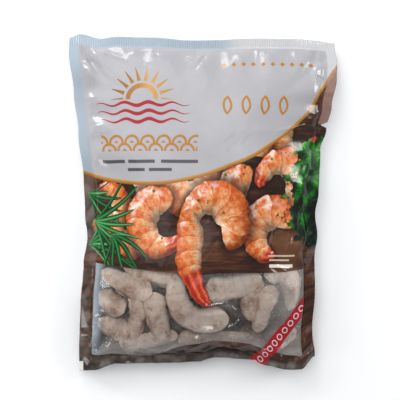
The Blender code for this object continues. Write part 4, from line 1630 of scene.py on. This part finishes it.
        # Two rows of scale arcs with a dot in each.
        arcs = None
        for start, level in ((24.0, 204.0), (32.0, 211.5)):
            x = add_node(tree, MATH, u, start, operation="SUBTRACT")
            x = add_node(tree, MATH, x, 8.0, operation="PINGPONG")
            x = add_node(tree, MATH, x, 8.0, operation="SUBTRACT")
            y = add_node(tree, MATH, v, level, operation="SUBTRACT")
            reach = add_node(tree, "ShaderNodeCombineXYZ", x, y)
            reach = add_node(tree, VECTOR_MATH, reach, operation="LENGTH").outputs["Value"]
            ring = add_node(tree, MATH, reach, 6.6, operation="SUBTRACT")
            ring = add_node(tree, MATH, ring, operation="ABSOLUTE")
            ring = add_node(tree, RANGE, ring, 1.35, 1.05, 0.0, 1.0)
            dot = add_node(tree, RANGE, reach, 2.2, 1.9, 0.0, 1.0)
            arc = add_node(tree, MATH, ring, dot, operation="MAXIMUM")
            above = add_node(tree, MATH, y, 0.0, operation="GREATER_THAN")
            arc = add_node(tree, MATH, arc, above, operation="MULTIPLY")
            arcs = arc if arcs is None else add_node(tree, MATH, arcs, arc, operation="MAXIMUM")
        for edge, side in ((24.0, "GREATER_THAN"), (122.0, "LESS_THAN")):
            within = add_node(tree, MATH, u, edge, operation=side)
            arcs = add_node(tree, MATH, arcs, within, operation="MULTIPLY")
        ink.lay(arcs, self.gold)
        # Four petals, each the outline that two circles share.
        for centre in (148.0, 166.0, 184.0, 202.0):
            left = add_node(tree, VECTOR_MATH, ink.point, (centre - 7.0, 247.0, 0.0), operation="DISTANCE")
            right = add_node(tree, VECTOR_MATH, ink.point, (centre + 7.0, 247.0, 0.0), operation="DISTANCE")
            far = add_node(tree, MATH, left.outputs["Value"], right.outputs["Value"], operation="MAXIMUM")
            far = add_node(tree, MATH, far, 10.6, operation="SUBTRACT")
            far = add_node(tree, MATH, far, operation="ABSOLUTE")
            ink.lay(add_node(tree, RANGE, far, 1.25, 1.0, 0.0, 1.0), self.gold)
        # A row of small diamonds.
        x = add_node(tree, MATH, u, 144.0, operation="SUBTRACT")
        x = add_node(tree, MATH, x, 4.5, operation="PINGPONG")
        y = add_node(tree, MATH, v, 287.0, operation="SUBTRACT")
        y = add_node(tree, MATH, y, operation="ABSOLUTE")
        size = add_node(tree, MATH, x, y, operation="ADD")
        gem = add_node(tree, RANGE, size, 2.5, 2.2, 0.0, 1.0)
        for edge, side in ((141.0, "GREATER_THAN"), (229.0, "LESS_THAN")):
            within = add_node(tree, MATH, u, edge, operation=side)
            gem = add_node(tree, MATH, gem, within, operation="MULTIPLY")
        ink.lay(gem, self.gold)
        # Short plain bars.
        for middle, level, half, tall, shade in (
            (35.0, 194.5, 12.0, 1.7, self.grey_ink), (64.0, 194.5, 14.0, 1.7, self.grey_ink),
            (103.0, 194.5, 19.0, 1.7, self.grey_ink), (58.0, 187.0, 9.0, 1.6, self.grey_ink),
            (83.0, 187.0, 12.0, 1.6, self.grey_ink), (212.0, 108.0, 15.0, 0.9, "#cdbba8"),
            (210.0, 104.0, 11.0, 0.9, "#cdbba8"), (212.0, 98.6, 13.0, 1.6, "#e6dccf"),
        ):
            x = add_node(tree, MATH, u, middle, operation="SUBTRACT")
            x = add_node(tree, MATH, x, operation="ABSOLUTE")
            y = add_node(tree, MATH, v, level, operation="SUBTRACT")
            y = add_node(tree, MATH, y, operation="ABSOLUTE")
            x = add_node(tree, RANGE, x, half, half - 0.4, 0.0, 1.0)
            y = add_node(tree, RANGE, y, tall, tall - 0.3, 0.0, 0.9)
            ink.lay(add_node(tree, MATH, x, y, operation="MULTIPLY"), shade)

    def seals(self, ink: Ink, panel: bpy.types.Node) -> None:
        """Prints the plain heat-sealed edges along the top and beside the panel, and the bare lower corner.

        Args:
            ink: the print so far.
            panel: the panel's mask.
        """
        tree, u, v = ink.tree, ink.u, ink.v
        # The seals along the top and beside the panel.
        pale = add_node(tree, RANGE, u, 140.0, 162.0, 0.0, 1.0, interpolation_type="SMOOTHSTEP")
        seal = add_node(tree, MIX, pale, self.seal, self.seal_pale, data_type="RGBA")
        top = add_node(tree, RANGE, v, 303.6, 304.2, 0.0, 1.0)
        left = add_node(tree, RANGE, u, 9.2, 8.6, 0.0, 1.0)
        right = add_node(tree, RANGE, u, 240.6, 241.2, 0.0, 1.0)
        edge = add_node(tree, MATH, left, right, operation="MAXIMUM")
        edge = add_node(tree, MATH, edge, panel, operation="MULTIPLY")
        edge = add_node(tree, MATH, edge, top, operation="MAXIMUM")
        ink.lay(edge, seal)
        # A paler brown strip up the right edge, beside the picture.
        strip = add_node(tree, MATH, v, 232.0, operation="GREATER_THAN")
        bare = add_node(tree, MATH, 1.0, panel, operation="SUBTRACT")
        strip = add_node(tree, MATH, strip, bare, operation="MULTIPLY")
        strip = add_node(tree, MATH, strip, right, operation="MULTIPLY")
        ink.lay(add_node(tree, MATH, strip, 0.6, operation="MULTIPLY"), "#a58478")
        # The bare lower corner.
        corner = add_node(tree, RANGE, u, 4.6, 4.2, 0.0, 1.0)
        low = add_node(tree, RANGE, v, 9.0, 8.6, 0.0, 1.0)
        ink.lay(add_node(tree, MATH, corner, low, operation="MULTIPLY"), "#d3d2cc")


@dataclass(frozen=True)
class BackFilm:
    """The same gloss film on the back: pale, with a dark foot and a bare white field."""

    panel: str = "#c6c6cd"
    foot: str = "#2a1a12"
    gold: str = "#b07a2c"
    field_colour: str = "#e4e4e6"

    def make(self) -> bpy.types.Material:
        """Builds the back film's material.

        Returns:
            The material.
        """
        material, tree, out = new_material("printed gloss film back")
        point = add_node(tree, "ShaderNodeUVMap", uv_map="flat_film").outputs[0]
        parts = add_node(tree, "ShaderNodeSeparateXYZ", point)
        u, v = parts.outputs["X"], parts.outputs["Y"]
        # A dark foot under a gold line.
        foot = add_node(tree, RANGE, v, 66.5, 66.0, 0.0, 1.0)
        line = add_node(tree, RANGE, v, 69.5, 69.0, 0.0, 1.0)
        colour = add_node(tree, MIX, line, self.panel, self.gold, data_type="RGBA")
        colour = add_node(tree, MIX, foot, colour, self.foot, data_type="RGBA")
        # A bare pale field.
        across = add_node(tree, MATH, u, 125.0, operation="SUBTRACT")
        across = add_node(tree, MATH, across, operation="ABSOLUTE")
        high = add_node(tree, MATH, v, 190.0, operation="SUBTRACT")
        high = add_node(tree, MATH, high, operation="ABSOLUTE")
        wide = add_node(tree, RANGE, across, 86.4, 86.0, 0.0, 1.0)
        tall = add_node(tree, RANGE, high, 70.4, 70.0, 0.0, 1.0)
        inner = add_node(tree, MATH, wide, tall, operation="MULTIPLY")
        colour = add_node(tree, MIX, inner, colour, self.field_colour, data_type="RGBA")
        shader = add_node(tree, "ShaderNodeBsdfPrincipled", Base_Color=colour, Roughness=0.28, IOR=1.5)
        tree.links.new(shader.outputs[0], out.inputs[0])
        return material


@dataclass(frozen=True)
class Studio:
    """A pale floor, soft light and a camera looking straight down."""

    lens: float = 85.0
    height: float = 0.8905
    aim: Spot = (-0.0028, 0.0023)
    floor_level: float = -0.0004
    world_colour: Colour = (0.95, 0.97, 1.0, 1.0)
    world_strength: float = 0.46
    # Each soft light's name, place, size in metres and power in watts.
    lamps: tuple[tuple[str, Place, float, float], ...] = (
        ("softbox_over", (-0.45, 0.75, 1.35), 1.90, 15.0),
        ("softbox_left", (-1.15, 0.80, 0.50), 0.32, 8.0),
        ("softbox_top", (-0.25, 1.20, 0.55), 0.35, 4.0),
        ("softbox_right", (1.10, 0.35, 0.50), 0.35, 5.5),
        ("softbox_front", (0.30, -1.15, 0.50), 0.16, 0.9),
        ("softbox_corner", (-1.20, -0.55, 0.45), 0.30, 2.4),
    )

    def build(self) -> None:
        """Sets the floor, the lights, the world and the camera."""
        scene = bpy.context.scene
        scene.view_settings.view_transform = "Standard"
        # The floor.
        corners = [(x, y, self.floor_level) for x, y in ((-4, -4), (4, -4), (4, 4), (-4, 4))]
        floor = add_mesh("studio_floor", corners, [(0, 1, 2, 3)], np.zeros((4, 2)), "floor")
        # Matt paper shows soft shadows and no reflection.
        material, tree, out = new_material("matt white studio paper")
        shader = add_node(tree, "ShaderNodeBsdfPrincipled", Base_Color="#f6f6f6", Roughness=0.9)
        tree.links.new(shader.outputs[0], out.inputs[0])
        floor.data.materials.append(material)
        # Light from all round.
        world = bpy.data.worlds.new("studio")
        world.use_nodes = True
        background = world.node_tree.nodes["Background"]
        background.inputs["Color"].default_value = self.world_colour
        background.inputs["Strength"].default_value = self.world_strength
        scene.world = world
        # Soft lights, each turned to the middle.
        for name, place, size, power in self.lamps:
            light = bpy.data.lights.new(name, "AREA")
            light.shape, light.size, light.energy = "SQUARE", size, power
            lamp = bpy.data.objects.new(name, light)
            lamp.location = place
            lamp.rotation_euler = (-Vector(place)).to_track_quat("-Z", "Y").to_euler()
            scene.collection.objects.link(lamp)
        # The camera, straight over the pouch.
        camera = bpy.data.cameras.new("camera")
        camera.lens = self.lens
        eye = bpy.data.objects.new("camera", camera)
        eye.location = (*self.aim, self.height)
        scene.collection.objects.link(eye)
        scene.camera = eye


def main() -> None:
    """Builds the pouch piece by piece."""
    logging.basicConfig(level=logging.INFO, format="%(name)s: %(message)s")
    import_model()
    Studio().build()
    form = PouchForm()
    film = FilmSkin(form).build()
    film.data.materials.append(PrintedFilm().make())
    film.data.materials.append(BackFilm().make())
    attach(film, "root")
    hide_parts("pouch")
    prawns = PrawnBed(form).build()
    for piece in prawns:
        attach(piece, "root")
    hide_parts("prawns_in_window")
    for piece in (film, *prawns):
        LOG.info("%s: %d faces", piece.name, len(piece.data.polygons))


if __name__ == "__main__":
    main()
